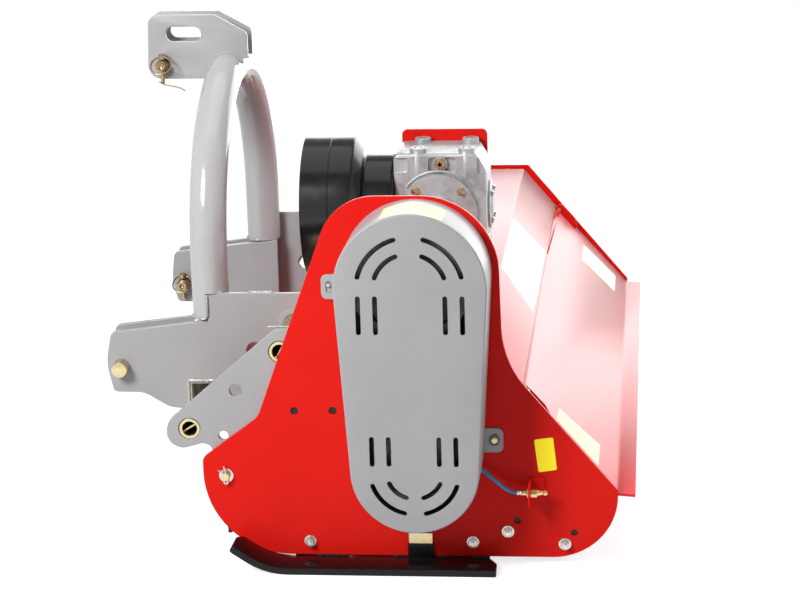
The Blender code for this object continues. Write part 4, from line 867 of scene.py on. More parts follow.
class Finishes:
    """Every finish of the machine."""

    RED = Paint("red_powder_coat", "red_paint", (0.82, 0.015, 0.01), (0.76, 0.013, 0.009), 0.22, 1.15, 0.06, 0.1)
    BACK_RED = Paint("red_sheet_paint", "red_paint", (0.8, 0.01, 0.006), (0.78, 0.01, 0.007), 0.28, 1.39, 0.0, 0.0, 1.0)
    GREY = Paint("grey_powder_coat", "grey_paint", (0.42, 0.42, 0.43), (0.39, 0.39, 0.4), 0.32, 1.36, 0.12, 0.1)
    # The hoop's grey is the plates' grey paint made lighter: a painted highlight for the light on the bent tube.
    LIT_HOOP_GREY = Paint("lightened_grey_hoop_paint", "grey_paint", (0.5, 0.5, 0.51), (0.46, 0.46, 0.47), 0.13, 1.55, 0.1, 0.1)
    BLACK = Paint(
        "gloss_black_paint", "gloss_black", (0.004, 0.004, 0.005), (0.008, 0.008, 0.009), 0.16, 1.32, 0.45, 0.45)
    ZINC = Plated("yellow_zinc", "zinc", (0.64, 0.52, 0.26), (0.56, 0.51, 0.36), 0.24, 0.22)
    BRONZE = Plated("bronze_zinc", "zinc", (0.44, 0.31, 0.14), (0.32, 0.27, 0.2), 0.2, 0.3)
    BRIGHT = Plated("bright_zinc", "zinc", (0.66, 0.65, 0.62), (0.5, 0.48, 0.44), 0.22, 0.25)
    STEEL = Plated("machined_steel", "machined_steel", (0.46, 0.46, 0.47), (0.36, 0.35, 0.34), 0.3, 0.35)
    BRASS = Plated("turned_brass", "nipple_brass", (0.8, 0.56, 0.24), (0.7, 0.5, 0.26), 0.22, 0.15)
    CASTING = Cast("silver_casting", "casting", (0.46, 0.48, 0.49), (0.24, 0.24, 0.24), 0.4, 0.45, 0.4)
    FORGED = Cast("forged_steel", "forging", (0.13, 0.12, 0.115), (0.2, 0.11, 0.07), 0.55, 0.7, 0.5)
    # The weld beads are grey paint, here in a lighter grey than the plates: a painted highlight on the beads.
    WELD = Cast("lightened_weld_paint", "grey_paint", (0.52, 0.52, 0.53), (0.36, 0.34, 0.32), 0.26, 0.35, 0.3)
    PLASTIC = Moulded(
        "black_shield_plastic", "black_plastic", (0.006, 0.006, 0.008), (0.05, 0.05, 0.05), 0.2, 0.1, 0.06)
    RUBBER = Moulded(
        "belt_and_flap_rubber", "belt_rubber", (0.012, 0.012, 0.012), (0.09, 0.085, 0.08), 0.62, 0.35, 0.45)
    HOSE = Moulded("blue_nylon_hose", "blue_hose", (0.045, 0.3, 0.62), (0.1, 0.36, 0.66), 0.3, 0.3, 0.05)
    # The yellow film has a painted glow, so it looks brighter than the lamps make it.
    YELLOW = Sticker("yellow_film", "", (1.0, 0.82, 0.006), 0.35, 0.26)
    PALE_YELLOW = Sticker("pale_yellow_film", "", (0.84, 0.84, 0.45))
    WHITE = Sticker("white_film", "", (0.88, 0.88, 0.88))


def dress(piece: Piece, finish: Finish, *nodes: str, body: str = "frame") -> Piece:
    """Give a piece its finish, its body and the nodes that it stands for.

    Args:
        piece: The piece.
        finish: One of Finishes.
        nodes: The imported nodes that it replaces.
        body: The body that it rides on.

    Returns:
        The same piece.
    """
    piece.data.materials.clear()
    piece.data.materials.append(finish.material())
    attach(piece, body)
    if nodes:
        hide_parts(*nodes)
    LOG.info("%s rides on %s", piece.name, body)
    return piece


def panel(
    name: str, loops: list[Loop], start: float, thickness: float, finish: Finish, *nodes: str,
    body: str = "frame", axis: Axis = Axis.Y, edge: float = EDGE,
) -> Piece:
    """Make a plate and dress it. See Shop.plate_mesh and dress for the arguments."""
    return dress(Shop.plate(name, loops, start, thickness, axis, edge), finish, *nodes, body=body)


def lathe(
    name: str, profile: Loop | Profile, centre: Point3, finish: Finish, *nodes: str,
    body: str = "frame", axis: Axis = Axis.Y, sides: int = 64, closed: bool = False,
) -> Piece:
    """Turn a piece and dress it. See Shop.turned_mesh and dress for the arguments."""
    return dress(Shop.turned(name, profile, centre, axis, sides, closed), finish, *nodes, body=body)


def fused(name: str, meshes: list[Mesh], sharp_deg: float, finish: Finish, *nodes: str,
          body: str = "frame") -> Piece:
    """Put meshes together as one dressed piece. See Shop.keep and dress for the arguments."""
    return dress(Shop.keep(name, Shop.merged(meshes), sharp_deg), finish, *nodes, body=body)


@dataclass(frozen=True)
class HexBolt:
    """A hexagon bolt head or nut on a washer, facing along an axis."""

    across: float = 0.019
    height: float = 0.009
    washer_r: float = 0.0125
    washer: float = 0.0022
    stub_r: float = 0.0055
    stub: float = 0.004
    ease: float = 0.0014
    washer_ease: float = 0.0004
    thread_ease: float = 0.001

    def mesh(self, spot: Point3, axis: Axis = Axis.Y, facing: int = -1) -> Mesh:
        """Make the washer, the chamfered head and the thread's end.

        Args:
            spot: The centre of the washer's seat.
            axis: The bolt's axis.
            facing: 1 or -1, the way that the head points along the axis.

        Returns:
            The mesh.
        """
        corner = self.across / 2 / math.cos(math.pi / 6)
        top = self.washer + self.height
        solids = (
            (rod(self.washer_r, 0.0, self.washer, self.washer_ease), 40), (rod(corner, self.washer, top, self.ease), 6),
            (rod(self.stub_r, top, top + self.stub, self.thread_ease), 24),
        )
        return Shop.merged([Shop.turned_mesh(mirrored(solid, facing), spot, axis, sides) for solid, sides in solids])


def bolts(
    name: str, spots: Path3, bolt: HexBolt, axis: Axis = Axis.Y, facing: int = -1, finish: Finish | None = None,
) -> Piece:
    """Put the same bolt at several spots, as one piece on the frame.

    Args:
        name: The piece's name.
        spots: The washers' seats, in design coordinates.
        bolt: The bolt's sizes.
        axis: The bolts' axis.
        facing: The way that the heads point.
        finish: The finish, bright zinc if none is given.

    Returns:
        The piece.
    """
    meshes = [bolt.mesh(spot, axis, facing) for spot in spots]
    return fused(name, meshes, BOLT_SHARP, finish or Finishes.BRIGHT)


def weld(name: str, paths: list[Path3], radius: float, finish: Finish, seed: int, body: str = "frame") -> Piece:
    """Lay rippled weld beads along paths, as one piece.

    Args:
        name: The piece's name.
        paths: The beads' centre lines, in design coordinates.
        radius: The beads' usual radius.
        finish: Their finish.
        seed: What the ripples start from.
        body: The body that it rides on.

    Returns:
        The piece.
    """
    chance = random.Random(seed)
    meshes = []
    for path in paths:
        knots = [Vector(p) for p in path]
        spots: list[Vector] = []
        for start, end in zip(knots, knots[1:]):
            count = max(1, round((end - start).length / BEAD_STEP))
            spots.extend(start.lerp(end, i / count) for i in range(count))
        spots.append(knots[-1])
        sizes = []
        for index in range(len(spots)):
            swell = 0.82 + 0.22 * abs(math.sin(index * 1.1)) + chance.uniform(-0.08, 0.08)
            taper = min(1.0, 0.35 + 0.3 * min(index, len(spots) - 1 - index))
            sizes.append(radius * swell * taper)
        meshes.append(Shop.tube_mesh(spots, sizes, 10))
    return fused(name, meshes, WELD_SHARP, finish, body=body)


def label(name: str, body: str, corners: Path3, lift: Vector, finish: Finish) -> Piece:
    """Stick a blank film with slightly rounded corners on a flat face.

    Args:
        name: The piece's name.
        body: The body that it rides on.
        corners: Four corners on the face, in order.
        lift: How far the film's outer side stands off the face.
        finish: The film's finish.

    Returns:
        The piece.
    """
    quad = [Vector(c) for c in corners]
    ring: list[Vector] = []
    for index, corner in enumerate(quad):
        to_last, to_next = (
            (quad[other % 4] - corner).normalized() * FILM_CORNER for other in (index - 1, index + 1)
        )
        ring += [corner + to_last, corner + (to_last + to_next) * 0.3, corner + to_next]
    middle = sum(quad, Vector()) / 4
    count = len(ring)
    spots = [p + lift * 0.1 for p in ring] + [p.lerp(middle, 0.004) + lift for p in ring]
    faces = [[i, (i + 1) % count, count + (i + 1) % count, count + i] for i in range(count)]
    faces += [list(range(count, 2 * count)), list(range(count))[::-1]]
    return dress(Shop.keep(name, Shop.mesh(spots, faces)), finish, body=body)


# Body

@dataclass
class BodyShell:
    """The side plates, the bent deck and the lifting rear hood."""

    sheet: float = 0.005
    sheet_edge: float = 0.0005
    plate_edge: float = 0.0009
    foot: float = 0.015
    front: float = -0.439
    rear: float = 0.387
    deck_front: Point2 = (-0.372, 0.203)
    deck_z: float = 0.452
    deck_rear: float = 0.118
    fold: Point2 = (0.2, 0.356)
    lip: Point2 = (0.385, 0.148)
    end: Point2 = (0.421, 0.145)
    hood_gap: float = 0.001
    lug_inset: float = 0.028
    lug: float = 0.006
    lug_length: float = 0.075
    lug_heights: Point2 = (0.0096, 0.02)
    pivot: Point2 = (0.209926, 0.350107)
    pivot_r: float = 0.0052
    bend_r: float = 0.007
    film: float = 0.0004
    rod_hole: Corner = (-0.392, 0.182, 0.0084)
    rotor_hole_r: float = 0.022
    drive_hole_r: float = 0.0205
    upper_holes: tuple[Corner, ...] = ((-0.25, 0.317, 0.008), (-0.173, 0.318, 0.008))
    rear_holes: tuple[Corner, ...] = ((0.188, 0.092, 0.007), (0.301, 0.067, 0.007))
    shade_disc_fit: float = 0.0002

    def side_plates(self) -> None:
        """Make both side plates, and dark discs sunk in four holes of the near one as painted shade inside them."""
        shared = [circle(*hole, 24) for hole in self.rear_holes]
        shared += [circle(*self.rod_hole), circle(0.0, ROTOR_Z, self.rotor_hole_r)]
        lower = [
            (-0.324, 0.303, 0.045), (self.front, 0.218, 0.02), (self.front, self.foot, 0.172),
            (self.rear, self.foot, 0.13), (self.rear, 0.156, 0.006),
        ]
        near = [(-0.157, 0.751, 0.112), *lower, (0.164, 0.42, 0.19), (0.157, 0.751, 0.152)]
        loops = [rounded(near, 16), *shared, circle(0.0, DRIVE_Z, self.drive_hole_r)]
        loops += [circle(*hole, 28) for hole in self.upper_holes]
        panel("near_plate", loops, 0.0, PLATE, Finishes.RED, "near_side_plate", edge=self.plate_edge)
        # Dark discs sunk in four holes: painted shade where the holes look dark inside.
        for number, (x, z, r) in enumerate(self.upper_holes + self.rear_holes, 1):
            loops = [circle(x, z, r - self.shade_disc_fit, 28)]
            panel(f"blind_plug_{number}", loops, PLATE / 2, 0.003, Finishes.RUBBER, edge=0.0002)
        far = [(-0.264, 0.462, 0.02), *lower, (0.13, 0.462, 0.008)]
        loops = [rounded(far, 16), *shared, circle(*self.pivot, self.pivot_r)]
        panel("far_plate", loops, BODY_WIDTH - PLATE, PLATE, Finishes.RED, "far_side_plate", edge=self.plate_edge)

    def slope(self) -> tuple[Vector, Vector]:
        """Return the hood's direction down its slope and its outward normal."""
        down = (Vector(self.lip) - Vector(self.fold)).normalized()
        return down, Vector((-down.y, down.x))

    def bent(self, name: str, corners: list[Corner], steps: int) -> Piece:
        """Return a sheet that is bent along its corners, between the side plates."""
        section = strip(rounded(corners, steps, closed=False), self.sheet)
        return Shop.plate(name, [section], SHEET_START, SHEET_END - SHEET_START, edge=self.sheet_edge)

    def deck(self) -> None:
        """Make the deck sheet and the stitch welds at its far edge."""
        rear = Vector((self.deck_rear, self.deck_z))
        corners = [
            (*self.deck_front, 0.0), (-0.19, self.deck_z, self.bend_r), (*rear, self.bend_r), (*self.fold, 0.0),
        ]
        dress(self.bent("deck_sheet", corners, 8), Finishes.BACK_RED, "deck_shell")
        inner = SHEET_END - 0.001
        rows = []
        flat = (Vector((-0.18, self.deck_z)), Vector((0.11, self.deck_z)), 9)
        for first, last, count in (flat, (rear, Vector(self.fold), 5)):
            for i in range(count):
                ends = [first.lerp(last, (i + share) / count) for share in (0.1, 0.8)]
                rows.append([(p.x, inner, p.y + 0.001) for p in ends])
        weld("deck_welds", rows, 0.0026, Finishes.RED, 3)

    def lug_starts(self) -> tuple[float, float]:
        """Return where the near and the far lug of the hood start along Y."""
        inset = PLATE + self.lug_inset
        return inset, BODY_WIDTH - inset - self.lug

    def lug_outline(self, height: float) -> Loop:
        """Return the outline of a lug at the hood's ends.

        Args:
            height: How high it stands above the sheet.

        Returns:
            The outline.
        """
        down, out = self.slope()
        top = Vector(self.fold) + down * 0.003
        foot = top + down * 0.001
        tail = top + down * self.lug_length
        knee = top + down * self.lug_length * 0.7
        sunk = out * self.sheet * 0.5
        return rounded([
            (*(foot - sunk), 0.0), (*(tail - sunk), 0.0), (*(tail + out * height * 0.4), 0.004),
            (*(knee + out * height), 0.006), (*(foot + out * height), 0.006),
        ], 8)

    def hood(self) -> None:
        """Make the hood sheet with its lip, its lugs and their welds."""
        down, out = self.slope()
        top = Vector(self.fold) + down * self.hood_gap
        sheet = self.bent("hood_sheet", [(*top, 0.0), (*self.lip, 0.01), (*self.end, 0.0)], 10)
        x, z = self.pivot
        spots = [(x, start - 0.04, z) for start in self.lug_starts()]
        Shop.cut(sheet, [Shop.turned("pocket", rod(self.pivot_r, 0.0, 0.08), spot, sides=24) for spot in spots])
        dress(sheet, Finishes.BACK_RED, "rear_hood", body="hood")
        rows = []
        first = top + down * 0.02 + out * 0.001
        last = top + down * (self.lug_length - 0.004) + out * 0.001
        for side, start, height in zip(Side, self.lug_starts(), self.lug_heights):
            loops = [self.lug_outline(height), circle(*self.pivot, self.pivot_r, 24)]
            panel(f"{side}_hood_lug", loops, start, self.lug, Finishes.RED, body="hood", edge=0.0008)
            for y in (start - 0.0012, start + self.lug + 0.0012):
                rows.append([(p.x, y, p.y) for p in (first, last)])
        weld("hood_lug_welds", rows, 0.0024, Finishes.RED, 5, "hood")

    def labels(self) -> None:
        """Stick the blank films on the deck, the hood and the near plate, and a darker red film on the hood's fold as
        painted shade.
        """
        rear, fold = Vector((self.deck_rear, self.deck_z)), Vector(self.fold)
        down, _ = self.slope()
        for name, body, origin, along, finish, corners in (
            ("white_blank", "frame", rear, fold - rear, Finishes.WHITE,
             ((0.05, 1.1), (0.05, 0.632), (0.95, 0.565), (0.95, 1.12))),
            ("far_yellow_blank", "hood", fold, down, Finishes.PALE_YELLOW,
             ((0.114, 1.545), (0.114, 1.39), (0.236, 1.42), (0.236, 1.575))),
            ("near_yellow_blank", "hood", fold, down, Finishes.PALE_YELLOW,
             ((0.101, 0.14), (0.098, 0.06), (0.2225, 0.048), (0.2225, 0.18))),
            # A darker red film along the fold: painted shade where deck and hood meet.
            ("fold_shade_film", "hood", fold, down, Finishes.RED,
             ((0.001, 1.634), (0.001, 1.12), (0.003, 1.12), (0.018, 1.605))),
        ):
            lift = Vector((-along.y, 0.0, along.x)).normalized() * self.film
            spots = [(origin.x + along.x * share, y, origin.y + along.y * share) for share, y in corners]
            label(name, body, spots, lift, finish)
        quad = [(0.2232, 0.0, 0.2606), (0.2312, 0.0, 0.1933), (0.2676, 0.0, 0.1988), (0.2605, 0.0, 0.266)]
        # This yellow film has the painted glow of its finish.
        label("plate_yellow_blank", "frame", quad, Vector((0, -0.0005, 0)), Finishes.YELLOW)

    def build(self) -> None:
        """Build the whole body."""
        self.side_plates()
        self.deck()
        self.hood()
        self.labels()


@dataclass
class Skid:
    """One skid: the sole with its raised nose, the strap and the lugs."""

    side: Side
    thickness: float = 0.0147
    outreach: float = 0.075
    front: float = -0.3816
    rear: float = 0.149
    strap_x: float = -0.005
    strap_width: float = 0.052
    strap_top: float = 0.044
    bend: float = -0.31
    nose: float = 0.048
    mitre: float = 0.022
    outer: float = 0.04
    lugs: Point2 = (-0.228, 0.1)
    lug: float = 0.008

    def profile(self) -> Loop:
        """Return the side view of the sole."""
        return rounded([
            (self.rear, 0.0, 0.002), (self.rear, self.thickness, 0.002), (self.bend + 0.0045, self.thickness, 0.135),
            (self.front + 0.0082, self.nose + 0.0122, 0.003), (self.front, self.nose, 0.006), (self.bend, 0.0, 0.15),
        ], 14)

    def sole(self) -> None:
        """Make the sole with its two mitred outer corners."""
        name, outward, face = self.side, self.side.outward, self.side.face
        start = self.side.start(-self.outreach, -GAP)
        sole = Shop.plate(f"{name}_sole", [self.profile()], start, self.outreach - GAP, edge=0.0016)
        outer_y, inner_y = face + outward * self.outer, face - outward * 0.002
        corners = []
        for end, toward in ((self.rear, 1), (self.front, -1)):
            past = end + toward * 0.01
            loop = [(end, outer_y), (past, outer_y), (past, inner_y), (end - toward * self.mitre, inner_y)]
            if toward * outward > 0:
                loop.reverse()
            corners.append(Shop.keep("corner", Shop.plate_mesh([loop], -0.01, 0.1, Axis.Z, CUTTER_EDGE)))
        Shop.cut(sole, corners)
        dress(sole, Finishes.BLACK, f"{name}_skid")

    def build(self) -> None:
        """Make the skid's pieces."""
        self.sole()
        name, black = self.side, Finishes.BLACK
        reach = PLATE + 0.0103
        loops = [rectangle(-0.236, 0.0, 0.122, self.thickness, 0.002)]
        panel(f"{name}_under_plate", loops, self.side.start(-0.002, reach), reach + 0.002, black, edge=0.001)
        left = self.strap_x - self.strap_width / 2
        loops = [rectangle(left, 0.005, left + self.strap_width, self.strap_top, 0.002)]
        panel(f"{name}_strap", loops, self.side.start(-0.0073, -GAP), 0.007, black, edge=0.001)
        lug_start = self.side.start(PLATE + GAP, PLATE + GAP + self.lug)
        for number, x in enumerate(self.lugs, 1):
            loops = [rectangle(x - 0.032, 0.005, x + 0.032, 0.062, 0.006), circle(x, 0.044, 0.006, 24)]
            panel(f"{name}_skid_lug_{number}", loops, lug_start, self.lug, black, edge=0.0008)
        y = self.side.face + self.side.outward * 0.0022
        seams = ((-0.215, -0.15), (-0.06, -0.035), (0.025, 0.06), (0.095, 0.128))
        weld(f"{name}_skid_welds", [[(x, y, self.thickness) for x in seam] for seam in seams], 0.0026, black, 11)


@dataclass
class PlateHardware:
    """The bolts, the flap rod's ends and the strap on the side plates."""

    bolt: HexBolt = HexBolt(0.0165, 0.0085, 0.0125, 0.0022, 0.005, 0.005)
    spots: Profile = ((-0.2277, 0.044), (0.099, 0.0458), (0.1691, 0.0689), (0.2818, 0.0438))
    rod: Point2 = (-0.392, 0.182)
    rod_r: float = 0.008
    washer_r: float = 0.0145
    washer: float = 0.0022
    pin_offset: float = 0.0085
    wire_r: float = 0.0016
    left_leg: Profile = ((-0.0014, -0.008), (-0.002, 0.004), (-0.008, 0.009), (-0.0146, 0.013))
    right_leg: Profile = ((0.0014, -0.008), (0.0008, 0.008), (-0.0015, 0.015), (-0.0037, 0.022))

    def rod_end(self, side: Side) -> None:
        """Make the washer and the split pin at one end of the flap rod.

        Args:
            side: The end.
        """
        x, z = self.rod
        bore = self.rod_r + 0.0004
        ring = [(bore, 0.0), (self.washer_r, 0.0), (self.washer_r, self.washer), (bore, self.washer)]
        spot = (x, side.face + side.outward * GAP, z)
        lathe(f"{side}_rod_washer", mirrored(ring, side.outward), spot, Finishes.BRIGHT, sides=40, closed=True)
        turns = [math.pi * i / 7 for i in range(14)]
        eye = [(0.0042 * math.sin(a), -0.0115 + 0.004 * math.cos(a)) for a in turns]
        y = side.face + side.outward * self.pin_offset
        meshes = [
            Shop.tube_mesh([(x + u, y, z + v) for u, v in path], self.wire_r, 10)
            for path in (self.left_leg, self.right_leg, eye)
        ]
        fused(f"{side}_split_pin", meshes, WELD_SHARP, Finishes.BRIGHT)

    def build(self) -> None:
        """Make the hardware on both plates."""
        for side in Side:
            spots = [(x, side.face, z) for x, z in self.spots]
            bolts(f"{side}_plate_bolts", spots, self.bolt, facing=side.outward)
        for side in Side:
            self.rod_end(side)
        panel("zinc_strap", [rectangle(-0.028, 0.045, 0.019, 0.067, 0.001)], -0.0105, 0.01, Finishes.ZINC)


# Side-shift rails

@dataclass
class GuideRails:
    """The two hollow guide shafts, their cross pins and the end brackets."""

    bracket: float = 0.012
    ease: float = 0.0018
    bore_ease: float = 0.001
    pin_inset: float = 0.012
    pin_r: float = 0.0026
    pin_proud: float = 0.002

    def outline(self) -> Loop:
        """Return the end brackets' outline."""
        return rounded([
            (-0.216, 0.482, 0.01), (-0.2844, 0.482, 0.022), (-0.5107, 0.289, 0.0427), (-0.5107, 0.226, 0.032),
            (-0.438, 0.246, 0.016), (-0.42, 0.24, 0.014), (-0.42, 0.205, 0.004), (-0.372, 0.212, 0.01),
            (-0.216, 0.42, 0.01),
        ], 16)

    def build(self) -> None:
        """Make the shafts and the brackets."""
        seats = [circle(*spot, GUIDE_R + 0.0004) for spot in (LOWER_SHAFT, UPPER_SHAFT)]
        loops = [self.outline(), *seats, circle(-0.367, 0.356, 0.013), circle(-0.396, 0.262, 0.01, 28)]
        for side, start in (("near", SHEET_START), ("far", SHEET_END - self.bracket)):
            node = f"{side}_end_bracket"
            panel(f"{side}_rail_bracket", loops, start, self.bracket, Finishes.GREY, node, edge=0.0012)
        length = BODY_WIDTH - 2 * PLATE - 4 * GAP
        start = PLATE + 2 * GAP
        ring = pipe(GUIDE_R, GUIDE_BORE_R, length, self.ease, self.bore_ease)
        for side, (x, z), lean in (("lower", LOWER_SHAFT, 32.0), ("upper", UPPER_SHAFT, 60.0)):
            lathe(f"{side}_rail", ring, (x, start, z), Finishes.ZINC, f"{side}_guide_shaft", sides=72, closed=True)
            ((u, v),) = around(GUIDE_BORE_R + self.pin_proud, (lean,))
            meshes = [
                Shop.tube_mesh([(x - u, y, z - v), (x + u, y, z + v)], self.pin_r, 16)
                for y in (start + self.pin_inset, start + length - self.pin_inset)
            ]
            fused(f"{side}_rail_cross_pins", meshes, TUBE_SHARP, Finishes.ZINC)
        y = SHEET_START + self.bracket
        weld("rail_bracket_welds", [[(-0.3, y - 0.0002, 0.4845), (-0.222, y, 0.4845)]], 0.002, Finishes.WELD, 7)


# Headstock

@dataclass
class Headstock:
    """The crossbar, the four hitch plates, the hoop and the top-link plates."""

    offset: float = 0.373
    plate: float = 0.012
    ball_gap: float = 0.043
    front: float = -0.673
    notch: float = -0.457
    outer_top: float = 0.501
    inner_top: float = 0.446
    bar: float = 0.076
    bar_wall: float = 0.006
    sleeve_r: float = 0.033
    sleeve_length: float = 0.065
    bush: float = 0.02
    hoop_x: float = -0.453
    hoop_r: float = 0.038
    arch_r: float = 0.34
    arch_z: float = 0.566
    top_gap: float = 0.05
    top_plate: float = 0.01
    pin: Corner = (-0.642, 0.344, 0.014)
    top_pin: Corner = (-0.591, 0.919, 0.0125)
    fit: float = 0.0004

    def hitch_outline(self, outer: bool) -> Loop:
        """Return the outline of the outer or the inner hitch plates.

        Args:
            outer: Whether it is for the outer ones.

        Returns:
            The outline, round the plate.
        """
        front = self.front
        belly = [(-0.545, 0.256, 0.05), (-0.496, 0.252, 0.03), (-0.48, 0.222, 0.012)]
        if outer:
            return rounded([
                (front + 0.012, 0.417, 0.012), (front - 0.002, 0.352, 0.12), (front + 0.012, 0.289, 0.01),
                (-0.598, 0.288, 0.05), *belly, (-0.42, 0.222, 0.02), (-0.33, 0.33, 0.01), (-0.232, 0.398, 0.02),
                (-0.232, self.outer_top, 0.006), (self.notch, self.outer_top, 0.0), (self.notch, 0.443, 0.0),
            ], 14)
        return rounded([
            (front + 0.01, 0.418, 0.014), (front + 0.002, 0.352, 0.1), (front + 0.014, 0.298, 0.012),
            (-0.598, 0.298, 0.05), *belly, (-0.418, 0.222, 0.01), (-0.418, self.inner_top, 0.0),
            (-0.5, self.inner_top - 0.008, 0.0),
        ], 14)

    def hitch_plates(self) -> None:
        """Make the four hitch plates and the two slide sleeves."""
        half = self.bar / 2 + GAP
        x, z = LOWER_SHAFT
        holes = [circle(*self.pin[:2], self.pin[2] + self.fit), square(x, z, half)]
        outer = [self.hitch_outline(True), *holes, circle(*UPPER_SHAFT, self.sleeve_r - 0.004)]
        outer.append(circle(-0.361, 0.38, 0.017))
        inner = [self.hitch_outline(False), *holes]
        reach = self.offset - self.plate - self.ball_gap
        for name, loops, start in (
            ("near_outer", outer, HITCH_Y - self.offset), ("near_inner", inner, HITCH_Y - reach),
            ("far_inner", inner, HITCH_Y + reach - self.plate),
            ("far_outer", outer, HITCH_Y + self.offset - self.plate),
        ):
            panel(f"{name}_link_plate", loops, start, self.plate, Finishes.GREY, f"{name}_hitch_plate",
                  body="headstock", edge=0.0013)
        length = self.sleeve_length
        ring = pipe(self.sleeve_r, GUIDE_R + self.fit, length, 0.001, 0.001)
        reach = self.offset + 0.003
        for side, start in (("near", HITCH_Y - reach), ("far", HITCH_Y + reach - length)):
            spot = (UPPER_SHAFT[0], start, UPPER_SHAFT[1])
            lathe(f"{side}_sleeve", ring, spot, Finishes.GREY, body="headstock", closed=True)

    def crossbar(self) -> None:
        """Make the square tube and the bushes inside it."""
        x, z = LOWER_SHAFT
        half = self.bar / 2
        inner = half - self.bar_wall
        start = HITCH_Y - self.offset - 0.001
        length = 2 * (self.offset + 0.001)
        panel("square_crossbar", [square(x, z, half, 0.007), square(x, z, inner, 0.003)], start, length, Finishes.GREY,
              "headstock_crossbar", body="headstock", edge=0.0008)
        loops = [square(x, z, inner, 0.002), circle(x, z, GUIDE_R + self.fit)]
        for side, bush in (("near", start + 0.045), ("far", start + length - 0.065)):
            panel(f"{side}_bush", loops, bush, self.bush, Finishes.GREY, body="headstock", edge=0.0005)

    def hoop_points(self) -> Path3:
        """Return the hoop's centre line from the near leg's foot to the far one's.

        Returns:
            The points.
        """
        foot = self.inner_top + GAP
        rise = self.arch_z - foot
        line = [(HITCH_Y - self.arch_r, foot + rise * i / 6) for i in range(6)]
        line += arc(HITCH_Y, self.arch_z, self.arch_r, 180, 0, 72)
        line += [(HITCH_Y + self.arch_r, self.arch_z - rise * i / 6) for i in range(1, 7)]
        return [(self.hoop_x, y, z) for y, z in line]

    def hoop(self) -> None:
        """Make the bent tube, notched over the outer plates."""
        tube = Shop.tube("hoop_tube", self.hoop_points(), self.hoop_r, 56)
        face = self.offset - self.plate - GAP
        loop = [rectangle(self.notch - GAP, self.inner_top - 0.01, self.hoop_x + 0.08, self.outer_top + GAP)]
        starts = (HITCH_Y - face - 0.06, HITCH_Y + face)
        Shop.cut(tube, [Shop.plate("notch", loop, start, 0.06, edge=CUTTER_EDGE) for start in starts])
        # The hoop's lighter grey is a painted highlight.
        dress(tube, Finishes.LIT_HOOP_GREY, "headstock_hoop", body="headstock")

    def top_link(self) -> None:
        """Make the two top-link plates with the hoop's seat cut out of them."""
        x = self.hoop_x
        outline = rounded([
            (-0.407, 0.93, 0.004), (-0.407, 0.986, 0.014), (-0.477, 1.025, 0.006), (-0.62, 1.025, 0.02),
            (-0.626, 0.888, 0.03), (x - 0.02, 0.888, 0.0), (x, 0.906, 0.0), (x + 0.02, 0.93, 0.0),
        ], 14)
        eye = slot([(-0.568, 0.984), (-0.522, 0.984)], 0.032, 14)
        loops = [outline, eye, circle(*self.top_pin[:2], self.top_pin[2] + self.fit)]
        half = self.top_gap / 2
        for side, start in (("near", HITCH_Y - half - self.top_plate), ("far", HITCH_Y + half)):
            plate = Shop.plate(f"{side}_mast_plate", loops, start, self.top_plate, edge=0.0014)
            Shop.cut(plate, [Shop.tube("seat", self.hoop_points(), self.hoop_r + GAP, 56)])
            dress(plate, Finishes.GREY, f"{side}_top_link_plate", body="headstock")

    def welds(self) -> None:
        """Lay the weld beads of the hoop, the crossbar and the top-link plates."""
        x, z = LOWER_SHAFT
        half = self.bar / 2 + 0.001
        near, far = HITCH_Y - self.offset, HITCH_Y + self.offset
        edge = self.notch + 0.0012
        paths: list[Path3] = []
        for y in (near - 0.001, far + 0.001):
            corner = (x - half, y, z + half)
            paths.append([corner, (x + half * 0.5, y, z + half)])
            paths.append([corner, (x - half, y, z - half * 0.6)])
            paths.append([(edge, y, 0.449), (edge, y, 0.499)])
        top = self.outer_top + 0.001
        for y in (near + 0.006, far - 0.006):
            paths.append([(self.notch + 0.004, y, top), (self.notch + 0.034, y, top)])
            paths.append([(-0.372, y, top), (-0.318, y, top)])
            paths.append([(self.notch - 0.002, y, 0.446), (self.notch - 0.03, y, 0.441)])
        weld("plate_welds", paths, 0.0036, Finishes.WELD, 21, "headstock")
        foot = around(self.hoop_r + 0.0005, range(95, 266, 6))
        rings = [
            [(self.hoop_x + u, y + v, self.inner_top + 0.002) for u, v in foot]
            for y in (HITCH_Y - self.arch_r, HITCH_Y + self.arch_r)
        ]
        weld("hoop_foot_welds", rings, 0.003, Finishes.WELD, 22, "headstock")
        crown = self.arch_z + self.arch_r
        rings = []
        reach = self.top_gap / 2 + self.top_plate + 0.0005
        for y in (-reach, reach):
            drop = self.arch_r - math.sqrt(self.arch_r ** 2 - y ** 2)
            seam = around(self.hoop_r + 0.0015, range(205, 24, -5))
            rings.append([(self.hoop_x + u, HITCH_Y + y, crown - drop + v) for u, v in seam])
        weld("mast_plate_welds", rings, 0.0034, Finishes.GREY, 23, "headstock")

    def build(self) -> None:
        """Build the whole headstock."""
        self.crossbar()
        self.hitch_plates()
        self.hoop()
        self.top_link()
        self.welds()


